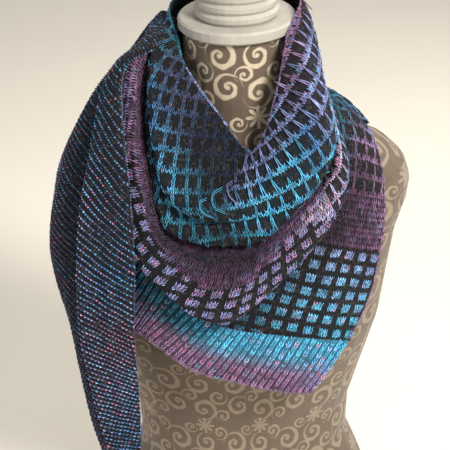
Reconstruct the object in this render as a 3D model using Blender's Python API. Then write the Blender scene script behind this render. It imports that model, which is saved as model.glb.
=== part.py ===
# A knitted shawl wound round a countertop dress form.
# +Z is up, the form faces -Y, the origin is the middle of its flat underside.
# The tables below are in millimetres; everything that is built is in metres.

import math

import bpy
import numpy as np

MM = 0.001

# Driving sizes of the cloth, in millimetres
CLOTH_THICKNESS = 2.4
SEAM_GAP = 0.3
RIB_COUNT = 44
RIB_HEIGHT = 1.5
RIB_SAMPLES = 4
COWL_TUCK = 11.0
PLEAT_FULL = 17.0
PLEAT_SLANT = 0.7
PLEAT_FADE = 0.4
TAIL_SWELL = 2.0
BORDER_SWELL = 2.0

# Driving sizes of the dress form, in millimetres
FORM_SIDES = 36
NECK_TOP = 588.0
NECK_CENTRE_Y = -5.0
PLATE_RADIUS = 57.0
PLATE_THICKNESS = 12.0
PLATE_ROUNDING = 2.0
DRUM_RADIUS = 41.0
DRUM_HEIGHT = 40.0
DRUM_RINGS = 4
DRUM_GROOVE = 2.2
DRUM_TAPER = 1.2
DRUM_FLAT = (0.3, 0.7)
DRUM_CROWN = ((33.0, 0.0), (18.5, 2.5))

# The form's level sections, from the flat underside up.
# Columns: height, half width, front reach, back reach, squareness of the oval
FORM_SECTIONS = (
    (0, 148, 104, 100, 2.3),
    (14, 150, 105, 101, 2.3),
    (60, 134, 97, 92, 2.3),
    (110, 115, 86, 76, 2.2),
    (160, 117, 86, 72, 2.2),
    (215, 132, 95, 78, 2.2),
    (270, 147, 106, 86, 2.2),
    (325, 154, 111, 92, 2.2),
    (370, 161, 105, 94, 2.2),
    (400, 171, 96, 94, 2.2),
    (422, 174, 90, 90, 2.2),
    (440, 168, 85, 85, 2.2),
    (456, 152, 78, 80, 2.2),
    (469, 126, 71, 72, 2.1),
    (483, 93, 66, 64, 2.0),
    (498, 66, 61, 56, 2.0),
    (520, 55, 58, 49, 2.0),
    (548, 52, 57, 47, 2.0),
    (588, 52, 57, 47, 2.0),
)

# The cowl: the lattice band that rings the neck.
# Columns: place round the neck, neck edge, first lip, second lip,
# rise of the slope between edge and first lip, depth of the hollow between the lips
COWL_SECTIONS = (
    ("left back", (-44, 42, 600), (-51, 48, 585), (-56, 54, 566), 1, 2),
    ("left shoulder", (-62, 13, 603), (-67, 14, 585), (-71, 14, 566), 1, 2),
    ("left collar", (-58, -22, 581), (-69, -20, 586), (-75, -22, 562), 0, 4),
    ("left neck", (-54, -44, 569), (-83, -44, 573), (-87, -50, 546), -3, 6),
    ("left side", (-40, -62, 548), (-85, -86, 531), (-89, -88, 500), -3, 7),
    ("left low", (-24, -75, 528), (-76, -116, 480), (-79, -120, 441), -2, 9),
    ("middle", (-10, -84, 508), (-52, -128, 456), (-46, -136, 428), 0, 11),
    ("crease", (0, -89, 497), (-34, -131, 452), (-24, -140, 427), -5, 13),
    ("centre", (9, -91, 495), (-3, -131, 460), (9, -139, 429), 3, 9),
    ("right low", (20, -86, 511), (35, -124, 495), (44, -129, 456), 5, -3),
    ("right rise", (29, -78, 538), (52, -110, 524), (70, -113, 480), 5, -5),
    ("right side", (36, -69, 562), (60, -94, 548), (82, -94, 508), 4, -5),
    ("right neck", (45, -44, 592), (60, -53, 582), (76, -62, 541), 3, -4),
    ("right shoulder", (60, -4, 608), (65, -6, 602), (69, -6, 574), 1, -2),
    ("right back", (45, 42, 604), (52, 50, 594), (58, 55, 572), 1, 2),
    ("back", (0, 60, 594), (0, 72, 586), (0, 78, 562), 1, 3),
)

# The second fold: the purple and squared roll that hangs below the cowl.
# Columns: place round the neck (the same as the cowl's), how far inside and how far
# below the cowl's lip it starts, crest, lip, depth of the tuck behind the lip
FOLD_SECTIONS = (
    ("left back", -3, 7, (-69, 59, 563), (-74, 63, 546), 6),
    ("left shoulder", -4, 7, (-80, 15, 569), (-86, 15, 553), 6),
    ("left collar", -8, 2, (-86, -25, 580), (-94, -18, 568), 6),
    ("left neck", -8, 6, (-102, -58, 566), (-116, -50, 556), 8),
    ("left side", -8, 10, (-104, -102, 498), (-118, -92, 496), 8),
    ("left low", 2, 14, (-95, -132, 431), (-109, -128, 415), 12),
    ("middle", 11, 8, (-58, -146, 396), (-74, -145, 374), 14),
    ("crease", 11, 8, (-34, -151, 388), (-49, -150, 354), 14),
    ("centre", 11, 8, (-5, -153, 394), (-16, -152, 352), 14),
    ("right low", 11, 9, (38, -146, 436), (42, -144, 404), 14),
    ("right rise", 7, 13, (67, -132, 459), (74, -132, 438), 12),
    ("right side", 2, 19, (87, -104, 483), (94, -103, 470), 8),
    ("right neck", 1, 19, (84, -66, 515), (89, -66, 503), 6),
    ("right shoulder", 4, 12, (72, -4, 554), (76, -4, 540), 6),
    ("right back", 8, 9, (61, 59, 556), (66, 64, 534), 7),
    ("back", 8, 9, (0, 86, 548), (0, 90, 526), 7),
)

# The front panel: purple at the shoulder, squares below, down to the ribbing.
# Columns: course, then five places from under the fold to the free edge
PANEL_SECTIONS = (
    ("seam", (-62, -122, 347), (-22, -128, 325), (25, -128, 314), (66, -120, 301), (100, -104, 286)),
    ("low squares", (-50, -119, 370), (-4, -122, 364), (42, -121, 354), (84, -110, 341), (121, -91, 328)),
    ("top squares", (-8, -117, 396), (32, -117, 392), (65, -112, 384), (99, -101, 374), (129, -84, 362)),
    ("chest", (28, -111, 423), (56, -107, 424), (84, -101, 420), (112, -90, 411), (136, -72, 400)),
    ("upper chest", (54, -97, 452), (75, -93, 453), (97, -86, 450), (119, -75, 442), (137, -60, 430)),
    ("collar bone", (70, -70, 490), (85, -68, 488), (100, -63, 483), (118, -54, 474), (134, -43, 460)),
    ("shoulder front", (78, -42, 508), (88, -40, 507), (99, -36, 502), (113, -31, 494), (127, -25, 478)),
    ("shoulder top", (80, -10, 507), (90, -10, 506), (101, -10, 501), (112, -10, 493), (123, -9, 478)),
    ("shoulder back", (80, 14, 500), (90, 15, 498), (101, 16, 493), (112, 16, 485), (123, 16, 473)),
)

# The ribbed border. Columns: place, seam with the panel, cast-off edge
RIB_SECTIONS = (
    ("under the tail", (-106, -92, 470), (-158, -74, 436)),
    ("left turn", (-102, -108, 430), (-152, -98, 380)),
    ("left", (-86, -116, 386), (-119, -118, 330)),
    ("left front", (-62, -122, 347), (-98, -123, 313)),
    ("seam start", (-22, -128, 325), (-58, -130, 280)),
    ("middle", (25, -128, 314), (-8, -132, 261)),
    ("right", (66, -120, 301), (30, -131, 248)),
    ("corner", (100, -104, 286), (61, -125, 239)),
)

# The back drape, from the right shoulder round to the left.
# Columns: place, neck side, upper middle, lower middle, hanging edge
BACK_SECTIONS = (
    ("right shoulder", (80, 16.6, 500), (94, 17, 497), (109, 17.4, 488), (123, 17, 473)),
    ("right rear", (76, 52, 506), (96, 58, 490), (118, 60, 470), (138, 60, 444)),
    ("right blade", (46, 78, 520), (58, 92, 484), (74, 97, 440), (88, 97, 396)),
    ("back", (0, 84, 516), (0, 95, 476), (0, 98, 424), (0, 94.5, 368)),
    ("left blade", (-48, 82, 524), (-62, 95, 490), (-82, 101, 446), (-98, 98, 400)),
    ("left rear", (-83, 64, 547), (-104, 68, 526), (-130, 66, 492), (-150, 60, 452)),
    ("left shoulder", (-69, 25, 593), (-83, 29, 579), (-106, 33, 546), (-135, 37, 500)),
)

# The striped tail, from the left shoulder down the front.
# Columns: place, inner edge, front fold, outline, turned-back edge, depth of the pleat under the fold
TAIL_SECTIONS = (
    ("shoulder", (-69, 24, 593), (-83, 28, 579), (-106, 32, 546), (-135, 36, 500), 0),
    ("over", (-73, -18, 588), (-87, -8, 581), (-105, 4, 556), (-138, 16, 503), 0),
    ("collar bone", (-91, -42, 583), (-102, -28, 575), (-120, -12, 549), (-148, 4, 503), 0),
    ("upper chest", (-108, -58, 577), (-117, -45, 568), (-136, -27, 537), (-158, -6, 490), 0),
    ("chest top", (-116, -77, 559), (-129, -67, 549), (-150, -42, 519), (-168, -18, 478), 3),
    ("chest", (-115, -112, 518), (-143, -99, 502), (-171, -58, 478), (-181, -30, 446), 11),
    ("mid", (-112, -136, 462), (-156, -125, 450), (-187, -80, 414), (-187, -52, 396), 16),
    ("bust", (-113, -148, 400), (-162, -143, 388), (-185, -93, 370), (-181, -66, 358), 17),
    ("low", (-117, -150, 336), (-162, -147, 334), (-174, -107, 326), (-166, -84, 320), 14),
    ("waist", (-116, -149, 272), (-156, -147, 270), (-167, -115, 266), (-158, -94, 262), 10),
    ("tip start", (-117, -147, 212), (-146, -149, 210), (-158, -125, 208), (-148, -108, 206), 3),
    ("tip", (-121, -142, 150), (-135, -144, 149), (-142, -130, 148), (-136, -116, 147), 0),
)


def smooth_curve(points, steps, closed=False):
    """Rounded curve through the first axis of an array of points."""
    points = np.asarray(points, float)
    count = len(points)
    spans = count if closed else count - 1
    if closed:
        before, after, beyond = (np.roll(points, shift, axis=0) for shift in (1, -1, -2))
    else:
        first = 2 * points[:1] - points[1:2]
        last = 2 * points[-1:] - points[-2:-1]
        before = np.concatenate([first, points[:-1]])
        after = np.concatenate([points[1:], last])
        beyond = np.concatenate([points[2:], last, last])
    rows = []
    for span in range(spans):
        a, b, c, d = before[span], points[span], after[span], beyond[span]
        for step in range(steps):
            t = step / steps
            rows.append(0.5 * (2 * b + (c - a) * t + (2 * a - 5 * b + 4 * c - d) * t * t
                               + (3 * b - a - 3 * c + d) * t ** 3))
    if not closed:
        rows.append(points[-1])
    return np.array(rows)


def loft(profiles, along, across, closed=False):
    """Grid of points through rows of profile points."""
    fine = smooth_curve(np.swapaxes(np.asarray(profiles, float), 0, 1), across)
    return smooth_curve(np.swapaxes(fine, 0, 1), along, closed)


def grid_normals(grid, closed):
    """Unit normals towards the body, evened out between neighbours so that tight folds stay open."""
    if closed:
        along = np.roll(grid, -1, axis=0) - np.roll(grid, 1, axis=0)
    else:
        along = np.gradient(grid, axis=0)
    across = np.gradient(grid, axis=1)
    normals = np.cross(along, across)
    normals /= np.linalg.norm(normals, axis=2, keepdims=True)
    evened = normals.copy()
    evened[:, 1:-1] += 0.5 * (normals[:, :-2] + normals[:, 2:])
    return evened / np.linalg.norm(evened, axis=2, keepdims=True)


def add_object(name, points, faces, material):
    mesh = bpy.data.meshes.new(name)
    mesh.from_pydata([tuple(p) for p in np.asarray(points) * MM], [], faces)
    mesh.validate()
    mesh.shade_smooth()
    mesh.set_sharp_from_angle(angle=math.radians(50))
    mesh.materials.append(material)
    item = bpy.data.objects.new(name, mesh)
    bpy.context.scene.collection.objects.link(item)


def cloth_wall(name, grid, material, closed=False, relief=0.0):
    """Closed wall on a grid of plain inside points; the relief raises the outer points only."""
    rows, columns = grid.shape[:2]
    outer = grid - grid_normals(grid, closed) * (CLOTH_THICKNESS + relief)
    points = np.concatenate([grid.reshape(-1, 3), outer.reshape(-1, 3)])
    shift = rows * columns

    def at(row, column, layer):
        return (row % rows) * columns + column + layer * shift

    faces = []
    for row in range(rows if closed else rows - 1):
        for column in range(columns - 1):
            faces.append((at(row, column, 0), at(row + 1, column, 0),
                          at(row + 1, column + 1, 0), at(row, column + 1, 0)))
            faces.append((at(row, column, 1), at(row, column + 1, 1),
                          at(row + 1, column + 1, 1), at(row + 1, column, 1)))
        for column, turn in ((0, 1), (columns - 1, -1)):
            rim = (at(row, column, 0), at(row, column, 1), at(row + 1, column, 1), at(row + 1, column, 0))
            faces.append(rim[::turn])
    if not closed:
        for row, turn in ((0, 1), (rows - 1, -1)):
            for column in range(columns - 1):
                rim = (at(row, column, 0), at(row, column + 1, 0),
                       at(row, column + 1, 1), at(row, column, 1))
                faces.append(rim[::turn])
    add_object(name, points, faces, material)


def away_from_neck(point, other, distance):
    """Middle of two points, moved level from the neck's axis."""
    middle = (np.asarray(point, float) + np.asarray(other, float)) / 2
    out = middle - np.array([0.0, NECK_CENTRE_Y, middle[2]])
    return middle + out / np.linalg.norm(out) * distance


def tucked(lip, depth, drop):
    """Point behind a lip, nearer the neck and a little lower or higher."""
    moved = away_from_neck(lip, lip, -depth)
    return moved + np.array([0.0, 0.0, -drop])


def ring_mesh(name, rings, material):
    """Closed solid through level rings of points, bottom to top."""
    sides = len(rings[0])
    points = np.concatenate(rings)
    faces = [tuple(range(sides))[::-1]]
    for level in range(len(rings) - 1):
        low = level * sides
        for side in range(sides):
            after = (side + 1) % sides
            faces.append((low + side, low + after, low + sides + after, low + sides + side))
    top = (len(rings) - 1) * sides
    faces.append(tuple(top + side for side in range(sides)))
    add_object(name, points, faces, material)


def oval(height, half_width, front, back, squareness):
    """Level oval section with its own front and back reach."""
    ring = []
    for step in range(FORM_SIDES):
        angle = 2 * math.pi * step / FORM_SIDES
        c, s = math.cos(angle), math.sin(angle)
        reach = back if s > 0 else front
        x = half_width * math.copysign(abs(c) ** (2 / squareness), c)
        y = reach * math.copysign(abs(s) ** (2 / squareness), s)
        ring.append((x, y, height))
    return np.array(ring)


def turned_rings(profile):
    """Rings of a turned piece on the neck's axis from radius and height pairs."""
    angles = np.linspace(0, 2 * math.pi, FORM_SIDES, endpoint=False)
    return [np.stack([radius * np.cos(angles), NECK_CENTRE_Y + radius * np.sin(angles),
                      np.full(FORM_SIDES, height)], axis=1) for radius, height in profile]


def plain_material(name, colour, roughness):
    material = bpy.data.materials.new(name)
    material.use_nodes = True
    shader = material.node_tree.nodes["Principled BSDF"]
    shader.inputs["Base Color"].default_value = (*colour, 1.0)
    shader.inputs["Roughness"].default_value = roughness
    return material


def build_form():
    cover = plain_material("form_cover", (0.16, 0.125, 0.09), 0.85)
    paint = plain_material("neck_paint", (0.50, 0.50, 0.49), 0.45)
    sections = np.array([section[:4] for section in FORM_SECTIONS], float)
    squareness = [section[4] for section in FORM_SECTIONS]
    ring_mesh("form_torso", [oval(*section, square) for section, square in zip(sections, squareness)], cover)

    low = NECK_TOP + SEAM_GAP
    high = NECK_TOP + PLATE_THICKNESS
    edge = PLATE_RADIUS - PLATE_ROUNDING
    plate = [(edge, low), (PLATE_RADIUS, low + PLATE_ROUNDING),
             (PLATE_RADIUS, high - PLATE_ROUNDING), (edge, high)]
    ring_mesh("neck_plate", turned_rings(plate), paint)

    base = high + SEAM_GAP
    pitch = DRUM_HEIGHT / DRUM_RINGS
    profile = []
    for ring in range(DRUM_RINGS):
        radius = DRUM_RADIUS - DRUM_TAPER * ring
        start = base + ring * pitch
        profile.append((radius - DRUM_GROOVE, start))
        profile += [(radius, start + share * pitch) for share in DRUM_FLAT]
    profile += [(radius, base + DRUM_HEIGHT + rise) for radius, rise in DRUM_CROWN]
    ring_mesh("neck_drum", turned_rings(profile), paint)


def build_cowl():
    wool = plain_material("lattice_wool", (0.05, 0.22, 0.34), 0.9)
    profiles = []
    for _, edge, lip, low, rise, hollow in COWL_SECTIONS:
        slope = away_from_neck(edge, lip, 0) + np.array([0.0, 0.0, rise])
        between = away_from_neck(lip, low, -hollow)
        profiles.append([edge, slope, lip, between, low, tucked(low, COWL_TUCK, 0)])
    grid = loft(profiles, 4, 3, closed=True)
    cloth_wall("front_cowl", grid, wool, closed=True)


def build_fold():
    wool = plain_material("squares_wool", (0.09, 0.05, 0.10), 0.9)
    profiles = []
    for (_, _, _, cowl_lip, _, _), (_, inset, below, crest, lip, depth) in zip(COWL_SECTIONS, FOLD_SECTIONS):
        start = tucked(cowl_lip, inset, below)
        profiles.append([start, (start + crest) / 2, crest, lip, tucked(lip, depth, 0)])
    grid = loft(profiles, 4, 3, closed=True)
    cloth_wall("front_fold", grid, wool, closed=True)


def build_panel():
    wool = plain_material("panel_wool", (0.05, 0.11, 0.17), 0.9)
    grid = loft([section[1:] for section in PANEL_SECTIONS], 3, 3)
    cloth_wall("front_panel", grid, wool)


def build_border():
    wool = plain_material("ribbed_wool", (0.10, 0.16, 0.28), 0.9)
    ends = np.array([section[1:] for section in RIB_SECTIONS], float)
    seam = ends[:, 0] - np.array([0.0, 0.0, SEAM_GAP])
    middle = (seam + ends[:, 1]) / 2 - np.array([0.0, BORDER_SWELL, 0.0])
    coarse = smooth_curve(np.stack([seam, middle, ends[:, 1]], axis=1), 24)
    fine = spread_evenly(coarse, RIB_COUNT * RIB_SAMPLES + 1)
    wave = 0.5 - 0.5 * np.cos(2 * math.pi * np.arange(len(fine)) / RIB_SAMPLES)
    cloth_wall("ribbed_border", fine, wool, relief=RIB_HEIGHT * wave[:, None, None])


def spread_evenly(rows, count):
    """The same sheet with its rows at even steps along its middle line."""
    middle = rows[:, rows.shape[1] // 2]
    lengths = np.linalg.norm(np.diff(middle, axis=0), axis=1)
    reached = np.concatenate([[0.0], np.cumsum(lengths)])
    wanted = np.linspace(0.0, reached[-1], count)
    flat = rows.reshape(len(rows), -1)
    columns = [np.interp(wanted, reached, flat[:, column]) for column in range(flat.shape[1])]
    return np.stack(columns, axis=1).reshape(count, *rows.shape[1:])


def build_back():
    wool = plain_material("back_wool", (0.05, 0.07, 0.12), 0.9)
    grid = loft([section[1:] for section in BACK_SECTIONS], 4, 3)
    cloth_wall("back_drape", grid, wool)


def build_tail():
    wool = plain_material("striped_wool", (0.04, 0.06, 0.10), 0.9)
    profiles = []
    for _, inner, fold, outline, turned, pleat in TAIL_SECTIONS:
        bulge = (np.asarray(inner, float) + fold) / 2 + np.array([0.0, -TAIL_SWELL, TAIL_SWELL])
        level = np.asarray(outline, float) - fold
        under = fold + level * (1 - pleat / PLEAT_FULL) / 5 + np.array([PLEAT_SLANT * pleat, pleat, 0.0])
        behind = fold + level / 2 + np.array([0.0, PLEAT_FADE * pleat, 0.0])
        profiles.append([inner, bulge, fold, under, behind, outline, turned])
    grid = loft(profiles, 3, 3)
    cloth_wall("tail", grid, wool)


def clear_scene():
    for item in list(bpy.data.objects):
        bpy.data.objects.remove(item, do_unlink=True)


def main():
    clear_scene()
    build_form()
    build_cowl()
    build_fold()
    build_panel()
    build_border()
    build_back()
    build_tail()


main()
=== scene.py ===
# Looks for the knitted shawl on its dress form.
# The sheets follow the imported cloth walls; every knitted stitch is laid on them from a chart.

import math

import bpy
import numpy as np
from mathutils import Matrix, Vector


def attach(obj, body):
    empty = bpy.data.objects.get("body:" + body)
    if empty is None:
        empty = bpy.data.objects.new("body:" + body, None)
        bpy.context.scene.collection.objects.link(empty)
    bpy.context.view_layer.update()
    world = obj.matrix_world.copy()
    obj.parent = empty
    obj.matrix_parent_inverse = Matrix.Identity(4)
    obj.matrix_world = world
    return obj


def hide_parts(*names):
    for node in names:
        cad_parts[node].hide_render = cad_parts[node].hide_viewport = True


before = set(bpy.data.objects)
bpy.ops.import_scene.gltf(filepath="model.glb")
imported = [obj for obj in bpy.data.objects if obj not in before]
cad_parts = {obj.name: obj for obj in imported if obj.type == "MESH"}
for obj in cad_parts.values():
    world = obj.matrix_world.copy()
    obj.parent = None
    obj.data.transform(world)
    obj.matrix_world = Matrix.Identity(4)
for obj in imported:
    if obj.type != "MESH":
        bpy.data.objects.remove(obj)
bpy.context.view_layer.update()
mm = 0.001
neckCentreY = -5.0
daylight = np.array([0.21, 0.72, 0.07])

# Yarn colours, as they look in daylight, 0 to 255
yarns = {
    "black": (17, 16, 19),
    "grey": (62, 57, 55),
    "teal": (46, 118, 142),
    "deep teal": (24, 64, 80),
    "cyan": (88, 184, 224),
    "blue": (72, 128, 182),
    "slate": (76, 84, 118),
    "lavender": (146, 154, 208),
    "pale": (206, 186, 212),
    "pink": (224, 134, 168),
    "rose": (168, 98, 132),
    "purple": (98, 64, 100),
    "plum": (54, 38, 60),
    "ink": (30, 42, 66),
    "mauve": (146, 112, 150),
}
# How uneven the hand's work is: millimetres, radians and shares
handwork = {
    "shift": 0.14, "turn": 0.09, "unevenness": 0.12, "black": (0.5, 1.9), "flecked": 0.22,
    "shade": (0.55, 1.5), "rowShade": 0.3, "rowDice": (12.9898, 437.585),
    "runLength": 0.23, "runShare": (0.2, 1.6), "accentMix": 0.65, "edgeLift": 0.2, "edgeWide": 0.75,
    "shortest": 0.7, "tallest": 1.7, "widest": 1.6, "hairSwing": (0.9, 0.9, 3.1),
}
# What a sheet and its stitches have unless the piece's own settings say otherwise: millimetres, shares
usual = {
    "closed": False, "along": 4, "across": 3, "finer": 2, "outer": 1.7, "inner": 0.7, "uneven": 0.45,
    "creases": (), "edges": (), "gapShadeBlack": 0.6, "groundShare": 0.02, "insideShare": 0.12,
    "yarn": 1.5, "hair": 0.3, "evenness": 0.75, "rowRuns": 0.7,
}


def linear(values):
    values = np.array(values) / 255
    return np.where(values < 0.04, values / 12.92, ((values + 0.055) / 1.055) ** 2.4)


def linearColour(name):
    return linear(yarns[name])


# Rounded curve through the first axis of an array of points.
def smoothCurve(points, steps, closed=False):
    points = np.asarray(points, float)
    count = len(points)
    spans = count if closed else count - 1
    if closed:
        before, after, beyond = (np.roll(points, shift, axis=0) for shift in (1, -1, -2))
    else:
        first = 2 * points[:1] - points[1:2]
        last = 2 * points[-1:] - points[-2:-1]
        before = np.concatenate([first, points[:-1]])
        after = np.concatenate([points[1:], last])
        beyond = np.concatenate([points[2:], last, last])
    rows = []
    for span in range(spans):
        a, b, c, d = before[span], points[span], after[span], beyond[span]
        for step in range(steps):
            t = step / steps
            rows.append(0.5 * (2 * b + (c - a) * t + (2 * a - 5 * b + 4 * c - d) * t * t
                               + (3 * b - a - 3 * c + d) * t ** 3))
    if not closed:
        rows.append(points[-1])
    return np.array(rows)


# Grid of values through rows of profile values; a closed one repeats its first row at the end.
def loft(profiles, along, across, closed=False):
    fine = smoothCurve(np.swapaxes(np.asarray(profiles, float), 0, 1), across)
    grid = smoothCurve(np.swapaxes(fine, 0, 1), along, closed)
    return np.concatenate([grid, grid[:1]]) if closed else grid


# Unit normals away from the body, evened out between neighbours.
def outwardNormals(grid, closed):
    along = np.gradient(grid, axis=0)
    if closed:
        along[0] = along[-1] = (grid[1] - grid[-2]) / 2
    normals = np.cross(np.gradient(grid, axis=1), along)
    normals /= np.linalg.norm(normals, axis=2, keepdims=True)
    evened = normals.copy()
    evened[:, 1:-1] += 0.5 * (normals[:, :-2] + normals[:, 2:])
    return evened / np.linalg.norm(evened, axis=2, keepdims=True)


# Middle of two points, moved level from the neck's axis.
def awayFromNeck(point, other, distance):
    middle = (np.asarray(point, float) + np.asarray(other, float)) / 2
    out = middle - np.array([0.0, neckCentreY, middle[2]])
    return middle + out / np.linalg.norm(out) * distance


# Point behind a lip, nearer the neck and lower by the drop.
def tucked(lip, depth, drop):
    return awayFromNeck(lip, lip, -depth) + np.array([0.0, 0.0, -drop])


def gridTriangles(rows, columns):
    index = np.arange(rows * columns).reshape(rows, columns)
    a, b, c, d = index[:-1, :-1], index[1:, :-1], index[1:, 1:], index[:-1, 1:]
    halves = [np.stack([a, b, c], -1).reshape(-1, 3), np.stack([a, c, d], -1).reshape(-1, 3)]
    return np.concatenate(halves)


# Flat places of a strip: the length along its middle line and across each row.
def stripFlat(grid):
    middle = grid[:, grid.shape[1] // 2]
    along = np.concatenate([[0.0], np.cumsum(np.linalg.norm(np.diff(middle, axis=0), axis=1))])
    steps = np.linalg.norm(np.diff(grid, axis=1), axis=2)
    across = np.concatenate([np.zeros((len(grid), 1)), np.cumsum(steps, axis=1)], axis=1)
    return np.stack([np.repeat(along[:, None], grid.shape[1], axis=1), -across], axis=2)


# Flat places of a strip whose knitted rows cross it aslant, by these angles from end to end.
def fannedFlat(grid, slopes):
    flat = stripFlat(grid)
    slope = np.radians(np.interp(np.linspace(0, 1, len(grid)), np.linspace(0, 1, len(slopes)), slopes))
    step = np.diff(flat[:, 0, 0], prepend=0.0)
    across = flat[:, flat.shape[1] // 2, 1][:, None] - flat[..., 1]
    return np.stack([across * np.cos(slope)[:, None] - np.cumsum(step * np.sin(slope))[:, None],
                     across * np.sin(slope)[:, None] + np.cumsum(step * np.cos(slope))[:, None]], axis=2)


# Flat places of a draped sheet with as little stretch as it allows.
def laidFlat(grid, rounds=40):
    rows, columns = grid.shape[:2]
    triangles = gridTriangles(rows, columns)
    corners = grid.reshape(-1, 3)[triangles]
    sideOne, sideTwo = corners[:, 1] - corners[:, 0], corners[:, 2] - corners[:, 0]
    normals = np.cross(sideOne, sideTwo)
    normals /= np.linalg.norm(normals, axis=1, keepdims=True)
    length = np.linalg.norm(sideOne, axis=1)
    level = sideOne / length[:, None]
    upward = np.cross(normals, level)
    local = np.zeros((len(triangles), 3, 2))
    local[:, 1, 0] = length
    local[:, 2, 0] = (sideTwo * level).sum(axis=1)
    local[:, 2, 1] = (sideTwo * upward).sum(axis=1)
    count = rows * columns
    laplacian = np.zeros((count, count))
    weights = np.zeros((len(triangles), 3))
    for corner in range(3):
        nextCorner, opposite = (corner + 1) % 3, (corner + 2) % 3
        one = local[:, corner] - local[:, opposite]
        two = local[:, nextCorner] - local[:, opposite]
        crossed = np.abs(one[:, 0] * two[:, 1] - one[:, 1] * two[:, 0])
        weight = np.clip((one * two).sum(axis=1) / np.maximum(crossed, 1e-6), 0.05, 5.0)
        weights[:, corner] = weight
        start, end = triangles[:, corner], triangles[:, nextCorner]
        np.add.at(laplacian, (start, start), weight)
        np.add.at(laplacian, (end, end), weight)
        np.add.at(laplacian, (start, end), -weight)
        np.add.at(laplacian, (end, start), -weight)
    laplacian[0, 0] += 1.0
    solver = np.linalg.inv(laplacian)
    flat = (stripFlat(grid) * np.array([1.0, -1.0])).reshape(-1, 2)
    for _ in range(rounds):
        placed = flat[triangles]
        spread = np.zeros((len(triangles), 2, 2))
        for corner in range(3):
            nextCorner = (corner + 1) % 3
            moved = placed[:, corner] - placed[:, nextCorner]
            still = local[:, corner] - local[:, nextCorner]
            spread += weights[:, corner, None, None] * moved[:, :, None] * still[:, None, :]
        left, _, right = np.linalg.svd(spread)
        flip = np.sign(np.linalg.det(left @ right))
        left[:, :, 1] *= flip[:, None]
        turns = left @ right
        wanted = np.zeros((count, 2))
        for corner in range(3):
            nextCorner = (corner + 1) % 3
            edge = weights[:, corner, None] * np.einsum(
                "tij,tj->ti", turns, local[:, corner] - local[:, nextCorner])
            np.add.at(wanted, triangles[:, corner], edge)
            np.add.at(wanted, triangles[:, nextCorner], -edge)
        flat = solver @ wanted
    return flat.reshape(rows, columns, 2)


# The flat places turned so that the region's upward slope, leaned over, is the way knitting grows.
def turnedFlat(flat, heights, region, lean):
    first, last = region
    places = flat[first:last].reshape(-1, 2)
    height = heights[first:last].reshape(-1)
    terms = np.concatenate([places, np.ones((len(places), 1))], axis=1)
    slope = np.linalg.lstsq(terms, height, rcond=None)[0][:2]
    angle = math.pi / 2 - math.atan2(slope[1], slope[0]) + math.radians(lean)
    c, s = math.cos(angle), math.sin(angle)
    return flat @ np.array([[c, s], [-s, c]])


# The flat places pushed about a little, slowly across the cloth, as hand knitting is.
def unevenWork(flat, points, amount):
    x, y, z = points[..., 0], points[..., 1], points[..., 2]
    sideways = (np.sin(z / 11 + x / 23 + 1.3) + 0.7 * np.sin(x / 9 - y / 14 + 0.4)
                + 0.5 * np.sin(z / 5.3 + y / 8))
    upward = (np.sin(x / 12 + z / 27 + 2.1) + 0.7 * np.sin(z / 10 + y / 13)
              + 0.5 * np.sin(x / 5.7 - z / 7))
    return flat + amount * np.stack([sideways, upward], axis=2)


# Height of the soft creases at the points. Each crease: start, end, height, reach.
def creaseRelief(points, creases):
    relief = np.zeros(points.shape[:2])
    for start, end, height, reach in creases:
        start, end = np.array(start, float), np.array(end, float)
        run = end - start
        t = np.clip(((points - start) @ run) / (run @ run), 0, 1)
        away = np.linalg.norm(points - (start + t[..., None] * run), axis=2)
        fade = 0.35 + 0.65 * np.sin(math.pi * np.clip(t, 0.02, 0.98)) ** 0.5
        relief += height * fade * np.exp(-(away / reach) ** 2)
    return relief


def meshObject(name, points, faces, material, flatPlaces=None, colours=None):
    mesh = bpy.data.meshes.new(name)
    mesh.from_pydata([tuple(p) for p in np.asarray(points) * mm], [], [tuple(f) for f in faces])
    if flatPlaces is not None:
        layer = mesh.uv_layers.new(name="chart")
        loops = np.zeros(len(mesh.loops), dtype=np.int32)
        mesh.loops.foreach_get("vertex_index", loops)
        layer.data.foreach_set("uv", flatPlaces[loops].ravel())
    if colours is not None:
        tint = mesh.attributes.new("yarn", "FLOAT_COLOR", "POINT")
        solid = np.concatenate([colours, np.ones((len(colours), 1))], axis=1)
        tint.data.foreach_set("color", solid.ravel())
    mesh.shade_smooth()
    if material is not None:
        mesh.materials.append(material)
    item = bpy.data.objects.new(name, mesh)
    bpy.context.scene.collection.objects.link(item)
    return item


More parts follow.
